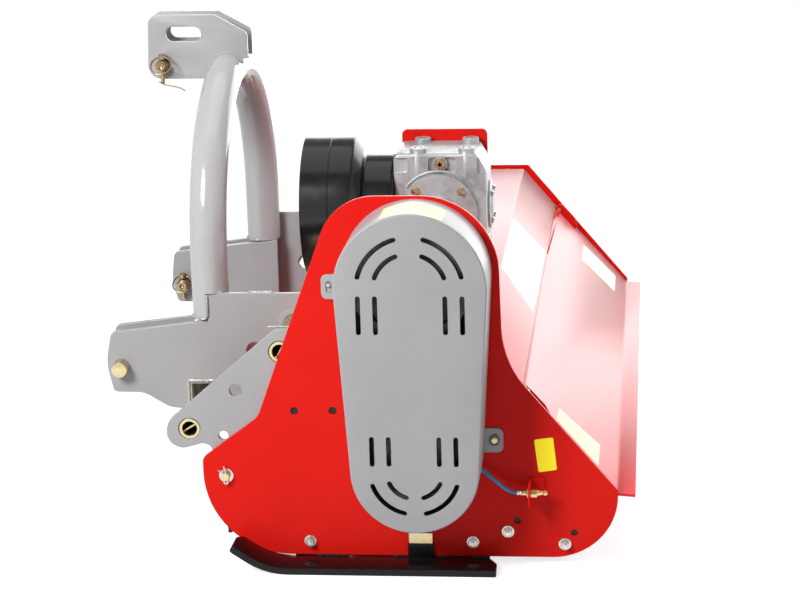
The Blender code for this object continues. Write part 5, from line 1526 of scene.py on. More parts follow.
@dataclass
class HitchPin:
    """A hitch pin with its head outside, and the lynch pin that holds it."""

    name: str
    spot: Corner
    seat: float
    towards: int
    grip: float
    head_r: float
    head_length: float
    pin_node: str
    tail: float = 0.034
    lynch_r: float = 0.0045
    lynch_length: float = 0.052
    knob: float = 0.012
    ring_r: float = 0.022
    wire_r: float = 0.002
    lean_deg: float = 48.0
    tail_wire: Profile = ()

    def pin(self) -> None:
        """Make the pin with its chamfers, head and cross hole."""
        shank = self.grip + self.tail
        head, back = self.head_r, -self.head_length
        x, z, radius = self.spot
        profile = [
            (0.0, back), (head - 0.0035, back), (head - 0.001, back + 0.0009), (head, back + 0.0035),
            (head, -0.0012), (head - 0.001, 0.0), (radius, 0.0), (radius, shank - 0.005),
            (radius - 0.0022, shank - 0.0012), (radius - 0.0042, shank), (0.0058, shank),
            (0.0044, shank - 0.004), (0.0, shank - 0.0062),
        ]
        pin = Shop.turned(f"{self.name}_hitch_pin", mirrored(profile, self.towards), (x, self.seat, z))
        hole = rod(self.lynch_r + 0.0004, -2 * radius, 2 * radius)
        Shop.cut(pin, [Shop.turned("hole", hole, (x, self.hole(), z), Axis.Z, 32)])
        finish = Finishes.ZINC if self.towards > 0 else Finishes.BRONZE
        dress(pin, finish, self.pin_node, body=f"{self.name}_pin")

    def hole(self) -> float:
        """Return where the cross hole is along Y."""
        return self.seat + self.towards * (self.grip + self.tail * 0.4)

    def lynch(self) -> None:
        """Make the lynch pin with its snap ring, and its wire tail if it has one."""
        x, z, radius = self.spot
        y = self.hole()
        top = radius + GAP
        tip = top + self.knob
        low = top - self.lynch_length
        r = self.lynch_r
        profile = [
            (0.0, low), (r * 0.55, low + 0.0004), (r * 0.8, low + 0.002), (r, low + 0.005), (r, top), (r * 1.5, top),
            (r * 1.85, top + 0.0012), (r * 1.9, top + 0.006), (r * 1.8, tip - 0.0015), (r * 1.3, tip), (0.0, tip),
        ]
        meshes = [Shop.turned_mesh(profile, (x, y, z), Axis.Z, 40)]
        ((out, fall),) = around(1.0, (self.lean_deg,))
        centre = z + top + self.knob / 2
        ring = []
        for u, v in around(self.ring_r, (7.5 * i for i in range(48))):
            reach = self.ring_r - u
            ring.append((x - v, y + self.towards * reach * out, centre - reach * fall))
        meshes.append(Shop.tube_mesh(ring, self.wire_r, 14, True))
        if self.tail_wire:
            wire = [(x + u, y + self.towards * 0.004, z + v) for u, v in self.tail_wire]
            meshes.append(Shop.tube_mesh(wire, 0.0013, 10))
        fused(f"{self.name}_snap_pin", meshes, 45.0, Finishes.BRONZE, f"{self.name}_lynch_pin",
              body=f"{self.name}_lynch")

    def build(self) -> None:
        """Make the pin and its lynch pin."""
        self.pin()
        self.lynch()


# Drive

@dataclass
class PowerShield:
    """The bell-shaped shield around the power take-off stub."""

    bell_r: float = 0.152
    neck_r: float = 0.112
    slope_r: float = 0.126
    hole_r: float = 0.04
    wall: float = 0.003
    back_wall: float = 0.004
    front: float = -0.292
    shoulder: float = -0.184
    neck: float = -0.16
    back: float = -0.0968
    seam: float = -0.232
    groove: Profile = ((0.0, -0.0016), (-0.0011, -0.0006), (-0.0011, 0.0004), (-0.0004, 0.0012))
    flat_z: float = 0.462
    screw: HexBolt = HexBolt(0.009, 0.004, 0.0075, 0.0012, 0.002, 0.001)
    screw_ring_r: float = 0.098
    screw_degs: tuple[float, ...] = (128.0, 52.0, 232.0, 308.0, 90.0)

    def section(self) -> Loop:
        """Return the shield's section with the groove of its moulding seam.

        Returns:
            The closed section.
        """
        bell, neck, wall, slope_x = self.bell_r, self.neck_r, self.wall, self.neck - 0.004
        outer = rounded([
            (bell, self.front, 0.0), (bell, self.shoulder, 0.012), (self.slope_r, slope_x, 0.01),
            (neck, self.neck, 0.006), (neck, self.back, 0.009), (self.hole_r, self.back, 0.0),
        ], 10, closed=False)
        first = next(i for i, p in enumerate(outer) if i and p[1] > self.seam)
        groove = [(bell + u, self.seam + v) for u, v in self.groove]
        inside = self.back - self.back_wall
        inner = rounded([
            (self.hole_r, inside, 0.0), (neck - wall, inside, 0.006), (neck - wall, self.neck - wall, 0.009),
            (self.slope_r - wall, slope_x - wall, 0.008), (bell - wall, self.shoulder - 0.001, 0.01),
            (bell - wall, self.front, 0.0),
        ], 8, closed=False)
        return outer[:first] + groove + outer[first:] + inner

    def build(self) -> None:
        """Make the shield with its flat underside, and its screws."""
        shield = Shop.turned("shield_bell", self.section(), (0.0, HITCH_Y, DRIVE_Z), Axis.X, 112, True)
        low = DRIVE_Z - self.bell_r - 0.01
        loop = [rectangle(self.front - 0.01, low, self.neck, self.flat_z)]
        Shop.cut(shield, [Shop.plate("under", loop, HITCH_Y - 0.16, 0.32, edge=CUTTER_EDGE)])
        dress(shield, Finishes.PLASTIC, "pto_shield")
        ring = around(self.screw_ring_r, self.screw_degs)
        spots = [(self.back - 0.0002, HITCH_Y - u, DRIVE_Z + v) for u, v in ring]
        bolts("shield_screws", spots, self.screw, Axis.X, -1, Finishes.BLACK)


@dataclass
class Gearbox:
    """The cast gearbox housing with its posts, ribs, plugs and bolts, and its bracket."""

    front: float = -0.0965
    rear: float = 0.102
    half_width: float = 0.075
    top: float = 0.728
    foot: float = 0.4606
    shaft_r: float = 0.0178
    posts: Point2 = (-0.044, 0.06)
    post_r: float = 0.018
    post_inset: float = 0.02
    post_seat: float = 0.0065
    post_bolt: HexBolt = HexBolt(0.012, 0.0022, 0.0095, 0.0008, 0.003, 0.0002)
    pocket_z: Point2 = (0.685, 0.72)
    plug: Point2 = (0.004, 0.706)
    near_plug: HexBolt = HexBolt(0.0165, 0.0075, 0.0125, 0.0016, 0.004, 0.0)
    far_plug: HexBolt = HexBolt(0.0165, 0.004, 0.0125, 0.001)
    rib_r: float = 0.0885
    rib_arcs: Profile = ((38.0, 142.0), (200.0, 222.0))
    cap: Profile = (
        (0.0, -0.002), (0.052, -0.002), (0.052, 0.0045), (0.049, 0.006), (0.03, 0.006), (0.026, 0.009), (0.0, 0.009),
    )
    cap_bolt: HexBolt = HexBolt(0.012, 0.005, 0.0085, 0.0014, 0.003, 0.0)
    cap_ring_r: float = 0.041
    plate: float = 0.008
    plate_x: Point2 = (-0.092, 0.095)
    plate_z: Point2 = (0.4523, 0.752)

    @property
    def near(self) -> float:
        """The near face."""
        return HITCH_Y - self.half_width

    @property
    def far(self) -> float:
        """The far face."""
        return HITCH_Y + self.half_width

    def post_spots(self, z: float) -> Path3:
        """Return the centres of the four posts at a height."""
        rows = (self.near + self.post_inset, self.far - self.post_inset)
        return [(x, y, z) for x in self.posts for y in rows]

    def walls(self) -> Piece:
        """Make the box with its side walls recessed between the posts.

        Returns:
            The box.
        """
        outline = rounded([
            (self.front, self.foot, 0.012), (self.rear, self.foot, 0.012), (self.rear, self.top - 0.04, 0.012),
            (self.rear - 0.022, self.top, 0.014), (self.front, self.top, 0.016),
        ], 10)
        box = Shop.plate("gearbox_casting", [outline], self.near, 2 * self.half_width, edge=0.005)
        low, high = self.pocket_z
        pockets = [
            rounded([(left, low, 0.008), (right, low, 0.008), (right, high, 0.006), (left, high, 0.006)], 8)
            for left, right in ((self.front - 0.01, -0.066), (-0.022, 0.038), (0.082, self.rear + 0.01))
        ]
        return Shop.cut(box, [
            Shop.plate("pocket", [pocket], start, 0.019, edge=0.002)
            for start in (self.near - 0.01, self.far - 0.009) for pocket in pockets
        ])

    def housing(self) -> None:
        """Make the casting: the box with its columns, bosses, chamber and bores."""
        box = self.walls()
        r, top = self.post_r, self.top
        seat = top + self.post_seat
        column = [
            (0.0, 0.62), (r - 0.006, 0.62), (r + 0.003, 0.64), (r + 0.003, top - 0.006), (r, top),
            (r, top + 0.0082), (r - 0.0018, top + 0.01), (0.01, top + 0.01), (0.01, seat), (0.0, seat),
        ]
        solids = [Shop.turned("column", column, spot, Axis.Z, 48) for spot in self.post_spots(0.0)]
        boss = [(0.0, -0.02), (0.019, -0.02), (0.016, -0.003), (0.015, -0.0002), (0.0, -0.0002)]
        x, z = self.plug
        for y, outward in ((self.near, -1), (self.far, 1)):
            solids.append(Shop.turned("boss", mirrored(boss, outward), (x, y, z), sides=48))
        Shop.cut(box, solids, union=True)
        chamber = [rectangle(self.front + 0.024, self.foot + 0.02, self.rear - 0.024, top - 0.032)]
        bore = rod(self.shaft_r, 0.0, 0.06)
        Shop.cut(box, [
            Shop.plate("chamber", chamber, self.near + 0.022, 2 * self.half_width - 0.038, edge=0.001),
            Shop.turned("bore", bore, (self.front - 0.01, HITCH_Y, DRIVE_Z), Axis.X, 48),
            Shop.turned("bore", bore, (0.0, self.near - 0.01, DRIVE_Z), Axis.Y, 48),
        ])
        dress(box, Finishes.CASTING, "gearbox_housing")

    def ribs(self) -> None:
        """Make the raised ribs on the sides and on the rear."""
        meshes = []
        for y in (self.near - 0.0005, self.far + 0.0005):
            for first, last in self.rib_arcs:
                spots = [(x, y, z) for x, z in arc(0.0, DRIVE_Z, self.rib_r, first, last, 36)]
                meshes.append(Shop.tube_mesh(spots, 0.0032, 12))
        x = self.rear + 0.0005
        for z in (0.5, 0.545):
            for ends in ((self.near + 0.012, self.near + 0.04), (self.far - 0.04, self.far - 0.012)):
                meshes.append(Shop.tube_mesh([(x, y, z) for y in ends], 0.003, 12))
        fused("casting_ribs", meshes, WELD_SHARP, Finishes.CASTING)

    def fasteners(self) -> None:
        """Make the rear cap, the bolts and the level plugs."""
        lathe("rear_cap", self.cap, (self.rear, HITCH_Y, DRIVE_Z), Finishes.CASTING, axis=Axis.X)
        ring = around(self.cap_ring_r, QUARTERS)
        spots = [(self.rear + 0.0058, HITCH_Y + u, DRIVE_Z + v) for u, v in ring]
        bolts("rear_cap_bolts", spots, self.cap_bolt, Axis.X, 1)
        bolts("post_bolts", self.post_spots(self.top + self.post_seat), self.post_bolt, Axis.Z, 1)
        x, z = self.plug
        bolts("level_plug_near", [(x, self.near, z)], self.near_plug, finish=Finishes.ZINC)
        bolts("level_plug_far", [(x, self.far + 0.0002, z)], self.far_plug, facing=1, finish=Finishes.ZINC)

    def bracket(self) -> None:
        """Make the upright plate behind the gearbox and the base under it."""
        left, right = self.plate_x
        base, top = self.plate_z
        loops = [rounded([(left, base, 0.0), (right, base, 0.0), (right, top, 0.012), (left, top, 0.012)], 12)]
        panel("gearbox_upright", loops, self.far + GAP, self.plate, Finishes.RED, "gearbox_bracket", edge=0.001)
        loops = [rectangle(left, base, right, base + self.plate)]
        panel("gearbox_base", loops, self.near, 2 * self.half_width, Finishes.RED, edge=0.0008)
        y, z = self.far + 0.0091, base + 0.001
        weld("gearbox_base_weld", [[(-0.09, y, z), (0.092, y, z)]], 0.003, Finishes.RED, 31)

    def build(self) -> None:
        """Build the gearbox and its bracket."""
        self.housing()
        self.ribs()
        self.fasteners()
        self.bracket()


@dataclass
class CrossTube:
    """The cast tube around the cross shaft, with its two flanges."""

    tube_r: float = 0.029
    near_flange_r: float = 0.07
    flange_r: float = 0.082
    bore: float = 0.0178
    relief_r: float = 0.024
    seat: float = 0.024
    end: float = 0.5077
    bolt: HexBolt = HexBolt(0.0135, 0.0065, 0.0095, 0.0018, 0.004, 0.002)
    bolt_ring_r: float = 0.0675
    bolt_degs: tuple[float, ...] = (43.0, 136.0, 223.0, 316.0)

    def build(self) -> None:
        """Make the tube and the bolts of its far flange."""
        tube, near, far, end = self.tube_r, self.near_flange_r, self.flange_r, self.end
        first, last = PLATE + self.seat, end - self.seat
        ring = [
            (near, PLATE + GAP), (near, PLATE + 0.011), (near - 0.001, PLATE + 0.012), (tube + 0.004, PLATE + 0.013),
            (tube, PLATE + 0.018), (tube, end - 0.026), (tube + 0.01, end - 0.013), (far - 0.0012, end - 0.0105),
            (far, end - 0.0092), (far, end), (self.bore, end), (self.bore, last), (self.relief_r, last),
            (self.relief_r, first), (self.bore, first), (self.bore, PLATE + GAP),
        ]
        lathe("cross_tube", ring, (0.0, 0.0, DRIVE_Z), Finishes.CASTING, "cross_shaft_tube", sides=96, closed=True)
        spots = [(u, end - 0.0108, DRIVE_Z + v) for u, v in around(self.bolt_ring_r, self.bolt_degs)]
        bolts("cross_tube_bolts", spots, self.bolt, finish=Finishes.ZINC)


@dataclass
class BeltCover:
    """The pressed cover over the belt drive."""

    face: float = -0.135
    depth: float = 0.15
    sheet: float = 0.003
    upper_r: float = 0.146
    lower_r: float = 0.1245
    upper_z: float = 0.6
    lower_z: float = 0.238
    edge: float = 0.0035
    slot_width: float = 0.0095
    upper_arcs: tuple[Corner, ...] = ((0.1015, 14.5, 74.0), (0.07, 20.0, 69.0))
    lower_arcs: tuple[Corner, ...] = ((0.086, 19.0, 76.0), (0.054, 25.0, 72.0))
    tab_slots: Profile = ((-0.172, 0.566), (0.147, 0.256))
    right_bolt: HexBolt = HexBolt(0.0125, 0.004, 0.0, 0.0005, 0.0036, 0.0008)
    left_bolt: HexBolt = HexBolt(0.0095, 0.004, 0.0, 0.0003, 0.003, 0.001)
    film_degs: Point2 = (64.0, 112.0)

    def slots(self) -> list[Loop]:
        """Return the outlines of the vent slots.

        Returns:
            The curved slots above and below, then the upright ones.
        """
        paths = []
        for radius, first, last in self.upper_arcs:
            for ends in ((first, last), (180 - first, 180 - last)):
                paths.append(arc(0.0, self.upper_z, radius, *ends, 16))
        for radius, first, last in self.lower_arcs:
            for ends in ((360 - last, 360 - first), (180 + first, 180 + last)):
                paths.append(arc(0.0, self.lower_z, radius, *ends, 16))
        paths += [[(x, 0.517), (x, 0.584)] for x in (-0.099, -0.0665, 0.0665, 0.099)]
        paths += [[(x, 0.254), (x, 0.305)] for x in (-0.081, -0.0485, 0.0485, 0.081)]
        return [slot(path, self.slot_width) for path in paths]

    def outline(self, inset: float) -> Loop:
        """Return the cover's outline, this far inside its outer side."""
        return wrapped(self.upper_r - inset, self.lower_r - inset, self.upper_z, self.lower_z, 48)

    def shell(self) -> None:
        """Make the hollow cover with its rounded front, its tabs and its holes."""
        t = self.sheet
        solid = Shop.plate_mesh([self.outline(0.0)], self.face, self.depth, Axis.Y, self.edge, 4)
        cover = Shop.keep("cover_shell", solid)
        tabs = (rectangle(-0.187, 0.547, -0.13, 0.597, 0.012), rectangle(0.11, 0.235, 0.163, 0.285, 0.012))
        Shop.cut(cover, [Shop.plate("tab", [tab], -GAP - t, t, edge=0.0005) for tab in tabs], union=True)
        holes = [("hollow", self.outline(t), self.face + t, 0.16)]
        holes += [("slot", loop, self.face - 0.004, 0.01) for loop in self.slots()]
        holes += [("slot", slot([(x, z), (x, z + 0.012)], 0.011), -0.01, 0.012) for x, z in self.tab_slots]
        cutters = [Shop.plate(name, [loop], start, deep, edge=CUTTER_EDGE) for name, loop, start, deep in holes]
        cutters.append(Shop.turned("hose_hole", rod(0.006, 0.0, 0.06), (0.09, -0.024, 0.205), Axis.X, 32))
        cutters.append(Shop.plate("behind", [rectangle(-0.3, 0.0, 0.3, 0.9)], -GAP, 0.2, edge=CUTTER_EDGE))
        Shop.cut(cover, cutters)
        dress(cover, Finishes.GREY, "belt_cover")

    def fasteners(self) -> None:
        """Make the bolts of the two tabs, with the dark washer of the right one."""
        spot = (0.1455, -0.0034, 0.2605)
        bolts("right_tab_bolt", [spot], self.right_bolt, finish=Finishes.ZINC)
        ring = [(0.0042, 0.0), (0.0112, 0.0), (0.0112, -0.0018), (0.0042, -0.0018)]
        lathe("tab_washer", ring, spot, Finishes.FORGED, sides=40, closed=True)
        bolts("left_tab_bolt", [(-0.172, -0.0014, 0.576)], self.left_bolt)

    def film(self) -> None:
        """Stick the blank yellow film on the cover's crown."""
        count = 20
        n = count + 1
        spots = [
            (x, y, z) for lift in (0.00005, 0.0005) for y in (self.face + 0.006, -0.04)
            for x, z in arc(0.0, self.upper_z, self.upper_r + lift, *self.film_degs, count)
        ]
        faces = []
        for i in range(count):
            faces.append([i, i + 1, n + i + 1, n + i])
            faces.append([2 * n + i, 3 * n + i, 3 * n + i + 1, 2 * n + i + 1])
            faces.append([i, 2 * n + i, 2 * n + i + 1, i + 1])
            faces.append([n + i, n + i + 1, 3 * n + i + 1, 3 * n + i])
        faces.append([0, n, 3 * n, 2 * n])
        faces.append([count, 2 * n + count, 3 * n + count, n + count])
        dress(Shop.keep("cover_yellow_blank", Shop.mesh(spots, faces)), Finishes.PALE_YELLOW)

    def build(self) -> None:
        """Build the cover, its fasteners and its blank film."""
        self.shell()
        self.fasteners()
        self.film()


# Rotor bearings and grease line

@dataclass
class Bearing:
    """A flanged bearing housing of the rotor, with its four bolts."""

    side: Side
    radius: float = 0.056
    depth: float = 0.04
    bore: float = 0.0203
    bolt: HexBolt = HexBolt(0.0105, 0.006, 0.0, 0.0003, 0.003, 0.001)
    bolt_ring_r: float = 0.0495
    bolt_seat: float = 0.0128

    def build(self) -> None:
        """Make the housing and its bolts."""
        name, outward = self.side, self.side.outward
        face = self.side.face + outward * GAP
        r, d, bore = self.radius, self.depth, self.bore
        ring = mirrored([
            (r, 0.0), (r, 0.0108), (r - 0.0012, 0.012), (0.044, 0.0135), (0.041, 0.018), (0.04, d - 0.002),
            (0.038, d), (0.03, d), (0.029, d - 0.002), (bore + 0.002, d - 0.002), (bore, d), (bore, 0.0),
        ], outward)
        spot = (0.0, face, ROTOR_Z)
        node = f"{name}_rotor_bearing"
        lathe(f"{name}_bearing_housing", ring, spot, Finishes.CASTING, node, sides=72, closed=True)
        seat = face + outward * self.bolt_seat
        spots = [(u, seat, ROTOR_Z + v) for u, v in around(self.bolt_ring_r, QUARTERS)]
        bolts(f"{name}_bearing_bolts", spots, self.bolt, facing=outward)


@dataclass
class GreaseLine:
    """The blue hose, its crimped end, the red fin and the brass nipple."""

    hose_y: float = -0.024
    nipple_y: float = -0.031
    exit_z: float = 0.205
    nipple_z: float = 0.1615
    radius: float = 0.0038
    fin_x: float = 0.213
    fin: float = 0.004
    fin_z: Point2 = (0.139, 0.184)
    crimp: Profile = (
        (0.0, -0.0232), (0.0042, -0.0232), (0.005, -0.0225), (0.0052, -0.019), (0.0046, -0.0182),
        (0.0053, -0.017), (0.0053, -0.0145), (0.0047, -0.0138), (0.005, -0.013), (0.0, -0.013),
    )
    hexagon: Profile = (
        (0.0, -0.0132), (0.0048, -0.0132), (0.0048, -0.004), (0.0078, -0.0038), (0.0088, -0.003),
        (0.0088, -0.0003), (0.005, -0.0003), (0.005, 0.0043), (0.0088, 0.0043), (0.0088, 0.016),
        (0.0078, 0.017), (0.0, 0.017),
    )
    tip: Profile = (
        (0.0, 0.017), (0.0058, 0.017), (0.0056, 0.0215), (0.0042, 0.0235), (0.0042, 0.0285),
        (0.0054, 0.03), (0.0051, 0.0345), (0.0036, 0.0368), (0.0, 0.037),
    )

    def route(self) -> Path3:
        """Return the hose's centre line, smoothed between its main points.

        Returns:
            The points, from inside the cover to the crimp.
        """
        y, end, z = self.hose_y, self.nipple_y, self.exit_z
        knots = [Vector(p) for p in (
            (0.0583, y, 0.244), (0.082, y, 0.234), (0.106, y, z + 0.001), (0.126, y, z - 0.002),
            (0.14, y - 0.004, 0.192), (0.156, end, 0.1795), (0.168, end, 0.1695), (0.18, end, 0.1635),
            (0.19, end, self.nipple_z), (0.1995, end, self.nipple_z),
        )]
        last = len(knots) - 1
        spots = []
        for index in range(last):
            p0, p1, p2, p3 = (knots[max(0, min(last, index + k))] for k in (-1, 0, 1, 2))
            for step in range(8):
                t = step / 8
                spots.append(0.5 * (
                    2 * p1 + (p2 - p0) * t + (2 * p0 - 5 * p1 + 4 * p2 - p3) * t ** 2
                    + (3 * p1 - p0 - 3 * p2 + p3) * t ** 3
                ))
        return [tuple(s) for s in (*spots, knots[-1])]

    def build(self) -> None:
        """Make the grease line."""
        dress(Shop.tube("blue_hose", self.route(), self.radius, 24), Finishes.HOSE, "grease_hose")
        x, y, z = seat = (self.fin_x, self.nipple_y, self.nipple_z)
        lathe("hose_crimp", self.crimp, seat, Finishes.BRIGHT, axis=Axis.X, sides=40)
        low, high = self.fin_z
        loops = [rectangle(-0.06, low, -GAP, high, 0.006), circle(y, z, 0.0053, 32)]
        panel("hose_fin", loops, x, self.fin, Finishes.RED, "hose_bracket", axis=Axis.X, edge=0.0007)
        panel("hose_fin_foot", [rectangle(x + 0.002, low, x + 0.03, high, 0.004)], -0.0043, 0.004, Finishes.RED)
        meshes = [Shop.turned_mesh(self.hexagon, seat, Axis.X, 6), Shop.turned_mesh(self.tip, seat, Axis.X, 32)]
        fused("brass_nipple", meshes, CUT_SHARP, Finishes.BRASS, "grease_nipple")
        curl = [(x + 0.003, -0.034 - 0.01 * i, high + 0.004 * math.sin(i * 1.7)) for i in range(3)]
        dress(Shop.tube("fin_curl", curl, 0.0022, 12), Finishes.RED)


# Roller

@dataclass
class RearRoller:
    """The rear roller with its end discs and its axle stubs."""

    x: float = 0.262
    z: float = 0.0604
    radius: float = 0.06
    axle_r: float = 0.0125
    start: float = 0.0518
    end: float = 1.5982
    reach: float = 0.042

    def build(self) -> None:
        """Make the roller, both its ends alike."""
        r, axle, reach = self.radius, self.axle_r, self.reach
        half = [
            (0.0, -reach), (axle - 0.001, -reach), (axle, 0.001 - reach), (axle, 0.004),
            (r - 0.01, 0.004), (r - 0.008, 0.0), (r - 0.0015, 0.0), (r, 0.0015),
        ]
        profile = [(u, self.start + v) for u, v in half] + [(u, self.end - v) for u, v in reversed(half)]
        lathe("roller_tube", profile, (self.x, 0.0, self.z), Finishes.BLACK, "rear_roller", body="roller", sides=96)


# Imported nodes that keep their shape

def fused_group() -> bpy.types.NodeTree:
    """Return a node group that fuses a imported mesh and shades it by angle.

    Returns:
        The group.
    """
    tree = bpy.data.node_groups.new("fused_and_shaded", "GeometryNodeTree")
    for direction in ("INPUT", "OUTPUT"):
        tree.interface.new_socket("Mesh", in_out=direction, socket_type="NodeSocketGeometry")
    source, merge, drop, smooth, sharp, result, angle, compare = (tree.nodes.new(kind) for kind in (
        "NodeGroupInput", "GeometryNodeMergeByDistance", "GeometryNodeRemoveAttribute", "GeometryNodeSetShadeSmooth",
        "GeometryNodeSetShadeSmooth", "NodeGroupOutput", "GeometryNodeInputMeshEdgeAngle", "FunctionNodeCompare",
    ))
    merge.inputs["Distance"].default_value = FUSE_REACH
    drop.inputs["Name"].default_value = "custom_normal"
    compare.operation = "GREATER_THAN"
    compare.inputs[1].default_value = math.radians(PACKED_SHARP)
    sharp.domain = "EDGE"
    sharp.inputs["Shade Smooth"].default_value = False
    chain = (source, merge, drop, smooth, sharp, result)
    for before, after in zip(chain, chain[1:]):
        tree.links.new(before.outputs[0], after.inputs[0])
    tree.links.new(angle.outputs["Unsigned Angle"], compare.inputs[0])
    tree.links.new(compare.outputs["Result"], sharp.inputs["Selection"])
    return tree


@dataclass
class CarriedNodes:
    """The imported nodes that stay, with eased edges and a finish each."""

    edge: float = 0.0007
    eased_deg: float = 40.0
    groups: tuple[tuple[Finish, tuple[str, ...]], ...] = (
        (Finishes.ZINC, ("near_hood_pivot", "far_hood_pivot", "flap_rod")),
        (Finishes.STEEL, ("input_shaft", "cross_shaft")),
        (Finishes.FORGED, ("upper_pulley", "lower_pulley", "rotor", *(f"hammer_{i}" for i in range(1, 9)))),
        (Finishes.RUBBER, ("drive_belt_1", "drive_belt_2", "drive_belt_3", *(f"front_flap_{i}" for i in range(1, 5)))),
        (Finishes.RED, ("near_roller_bracket", "far_roller_bracket")),
    )

    def build(self, nodes: dict[str, Piece]) -> None:
        """Give every carried node its finish and its modifiers.

        Args:
            nodes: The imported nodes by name.
        """
        shading = fused_group()
        for finish, names in self.groups:
            for name in names:
                node = nodes[name]
                node.data.materials.clear()
                node.data.materials.append(finish.material())
                fuse = node.modifiers.new("fused", "NODES")
                fuse.node_group = shading
                ease = node.modifiers.new("eased_edges", "BEVEL")
                ease.width = self.edge
                ease.segments = 2
                ease.limit_method = "ANGLE"
                ease.angle_limit = math.radians(self.eased_deg)
                ease.harden_normals = True
                LOG.info("%s keeps its shape", name)


# Studio

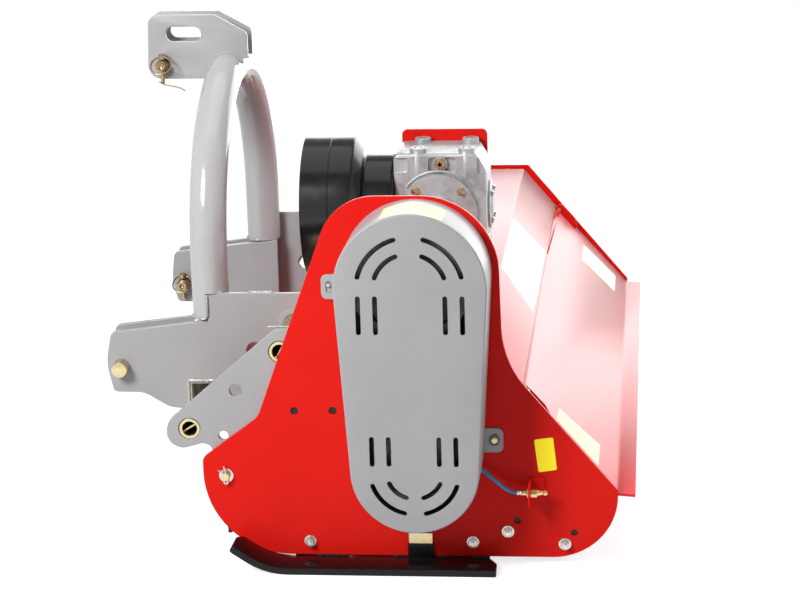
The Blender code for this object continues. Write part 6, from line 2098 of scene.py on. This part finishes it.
@dataclass
class Studio:
    """The pale floor, the lamps and the camera."""

    focal_mm: float = 105.64
    sensor_mm: float = 36.0
    position: Point3 = (0.4578, -4.3701, 1.739)
    yaw_deg: float = 6.41
    pitch_deg: float = 15.193
    roll_deg: float = -1.664
    floor_half: float = 14.0
    near_glow: float = 0.76
    far_glow: float = 0.96
    world_level: float = 0.12
    sky_level: float = 0.22
    sky_reach: Point2 = (0.1, 0.65)
    view_end: float = 60.0
    glow_reach: Point2 = (2.0, 7.0)
    floor_grey: float = 0.6

    def camera(self) -> None:
        """Stand the camera where the photo was taken from."""
        turn = Matrix.Rotation(math.radians(self.yaw_deg), 4, "Z")
        turn @= Matrix.Rotation(math.radians(90.0 - self.pitch_deg), 4, "X")
        turn @= Matrix.Rotation(math.radians(self.roll_deg), 4, "Z")
        data = bpy.data.cameras.new("camera")
        data.lens = self.focal_mm
        data.sensor_width = self.sensor_mm
        data.clip_end = self.view_end
        camera = bpy.data.objects.new("camera", data)
        bpy.context.scene.collection.objects.link(camera)
        camera.matrix_world = Matrix.Translation(Vector(self.position) + Shop.shift) @ turn
        bpy.context.scene.camera = camera

    def lamp(
        self, name: str, spot: Point3, aim: Point3, size: Point2, watts: float, lights: bool = True, shows: bool = True,
    ) -> None:
        """Hang a soft rectangular lamp.

        Args:
            name: The lamp's name.
            spot: Where it hangs, in design coordinates.
            aim: The point that it faces.
            size: Its width and height.
            watts: Its power.
            lights: Whether it lights surfaces, or only shows in their gloss.
            shows: Whether it shows in the gloss of surfaces.
        """
        data = bpy.data.lights.new(name, "AREA")
        data.shape = "RECTANGLE"
        data.size, data.size_y = size
        data.energy = watts
        lamp = bpy.data.objects.new(name, data)
        bpy.context.scene.collection.objects.link(lamp)
        lamp.location = Vector(spot) + Shop.shift
        lamp.rotation_euler = (Vector(aim) - Vector(spot)).to_track_quat("-Z", "Y").to_euler()
        lamp.visible_camera = False
        lamp.visible_diffuse = lights
        lamp.visible_glossy = shows

    def world(self) -> None:
        """Surround the scene with plain white that the camera sees as white."""
        nodes = Nodes("studio", world=True)
        bpy.context.scene.world = nodes.owner
        height = nodes.add("ShaderNodeSeparateXYZ")
        nodes.join(nodes.place, height.inputs[0])
        sky = nodes.ramp(height.outputs["Z"], *self.sky_reach, 1.0, self.sky_level)
        seen = nodes.both("MULTIPLY", nodes.seen_share(), sky)
        seen = nodes.both("MAXIMUM", seen, nodes.add("ShaderNodeLightPath").outputs["Is Camera Ray"])
        strength = nodes.ramp(seen, 0.0, 1.0, self.world_level, 1.0)
        nodes.fill(nodes.shader, Color=(1.0, 1.0, 1.0, 1.0), Strength=strength)

    def floor(self) -> None:
        """Lay a plain pale floor that stays white and keeps the machine's shadow."""
        half = self.floor_half
        corners = [(-half, -half, 0.0), (half, -half, 0.0), (half, half, 0.0), (-half, half, 0.0)]
        floor = bpy.data.objects.new("floor", Shop.mesh(corners, [[0, 1, 2, 3]]))
        bpy.context.scene.collection.objects.link(floor)
        nodes = Nodes("pale_floor")
        reach = nodes.add("ShaderNodeVectorMath", operation="LENGTH")
        nodes.join(nodes.place, reach.inputs[0])
        glow = nodes.ramp(reach.outputs["Value"], *self.glow_reach, self.near_glow, self.far_glow)
        glow = nodes.both("MULTIPLY", nodes.seen_share(), glow)
        grey = (self.floor_grey, self.floor_grey, self.floor_grey, 1.0)
        nodes.fill(nodes.shader, Base_Color=grey, Roughness=0.9, Specular_IOR_Level=0.0)
        nodes.fill(nodes.shader, Emission_Color=(1.0, 1.0, 1.0, 1.0), Emission_Strength=glow)
        floor.data.materials.append(nodes.owner)

    def build(self) -> None:
        """Set the whole studio up."""
        self.camera()
        self.world()
        self.floor()
        self.lamp("key_from_left", (-1.7, -2.1, 2.4), (0.0, 0.0, 0.4), (1.1, 1.1), 110.0)
        self.lamp("hood_light", (2.8, 1.9, 2.0), (0.3, 0.8, 0.3), (2.4, 2.4), 70.0, shows=False)
        self.lamp("fill_from_right", (2.6, -3.0, 1.8), (0.0, 0.3, 0.4), (2.0, 2.0), 5.0)
        self.lamp("top_light", (0.0, 0.8, 3.4), (0.0, 0.8, 0.0), (3.0, 3.0), 32.0)
        self.lamp("far_panel", (0.9, 4.2, 1.0), (0.3, 0.8, 0.4), (5.0, 3.2), 185.0, lights=False)
        bpy.context.scene.view_settings.view_transform = "Standard"


def main() -> None:
    """Load the frame, build every assembly in order and report each piece."""
    logging.basicConfig(level=logging.INFO, format="%(name)s: %(message)s")
    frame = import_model()
    Shop.set_up()
    Studio().build()
    CarriedNodes().build(frame["nodes"])
    hitch = Headstock()
    grip = 2 * hitch.plate + hitch.ball_gap + GAP
    reach = hitch.offset + GAP
    mast = hitch.top_gap / 2 + hitch.top_plate
    wire = ((-0.008, -0.034), (0.002, -0.04), (0.016, -0.043), (0.03, -0.046), (0.04, -0.049), (0.048, -0.054))
    assemblies = [
        BodyShell(), *(Skid(side) for side in Side), PlateHardware(), GuideRails(), hitch,
        HitchPin("near", hitch.pin, HITCH_Y - reach, 1, grip, 0.017, 0.028, "near_lower_pin"),
        HitchPin("far", hitch.pin, HITCH_Y + reach, -1, grip, 0.017, 0.028, "far_lower_pin"),
        HitchPin("top", hitch.top_pin, HITCH_Y + mast + GAP, -1, 2 * mast + GAP, 0.019, 0.01, "top_link_pin",
                 tail_wire=wire),
        PowerShield(), Gearbox(), CrossTube(), BeltCover(), *(Bearing(side) for side in Side), GreaseLine(),
        RearRoller(),
    ]
    for assembly in assemblies:
        assembly.build()


if __name__ == "__main__":
    main()
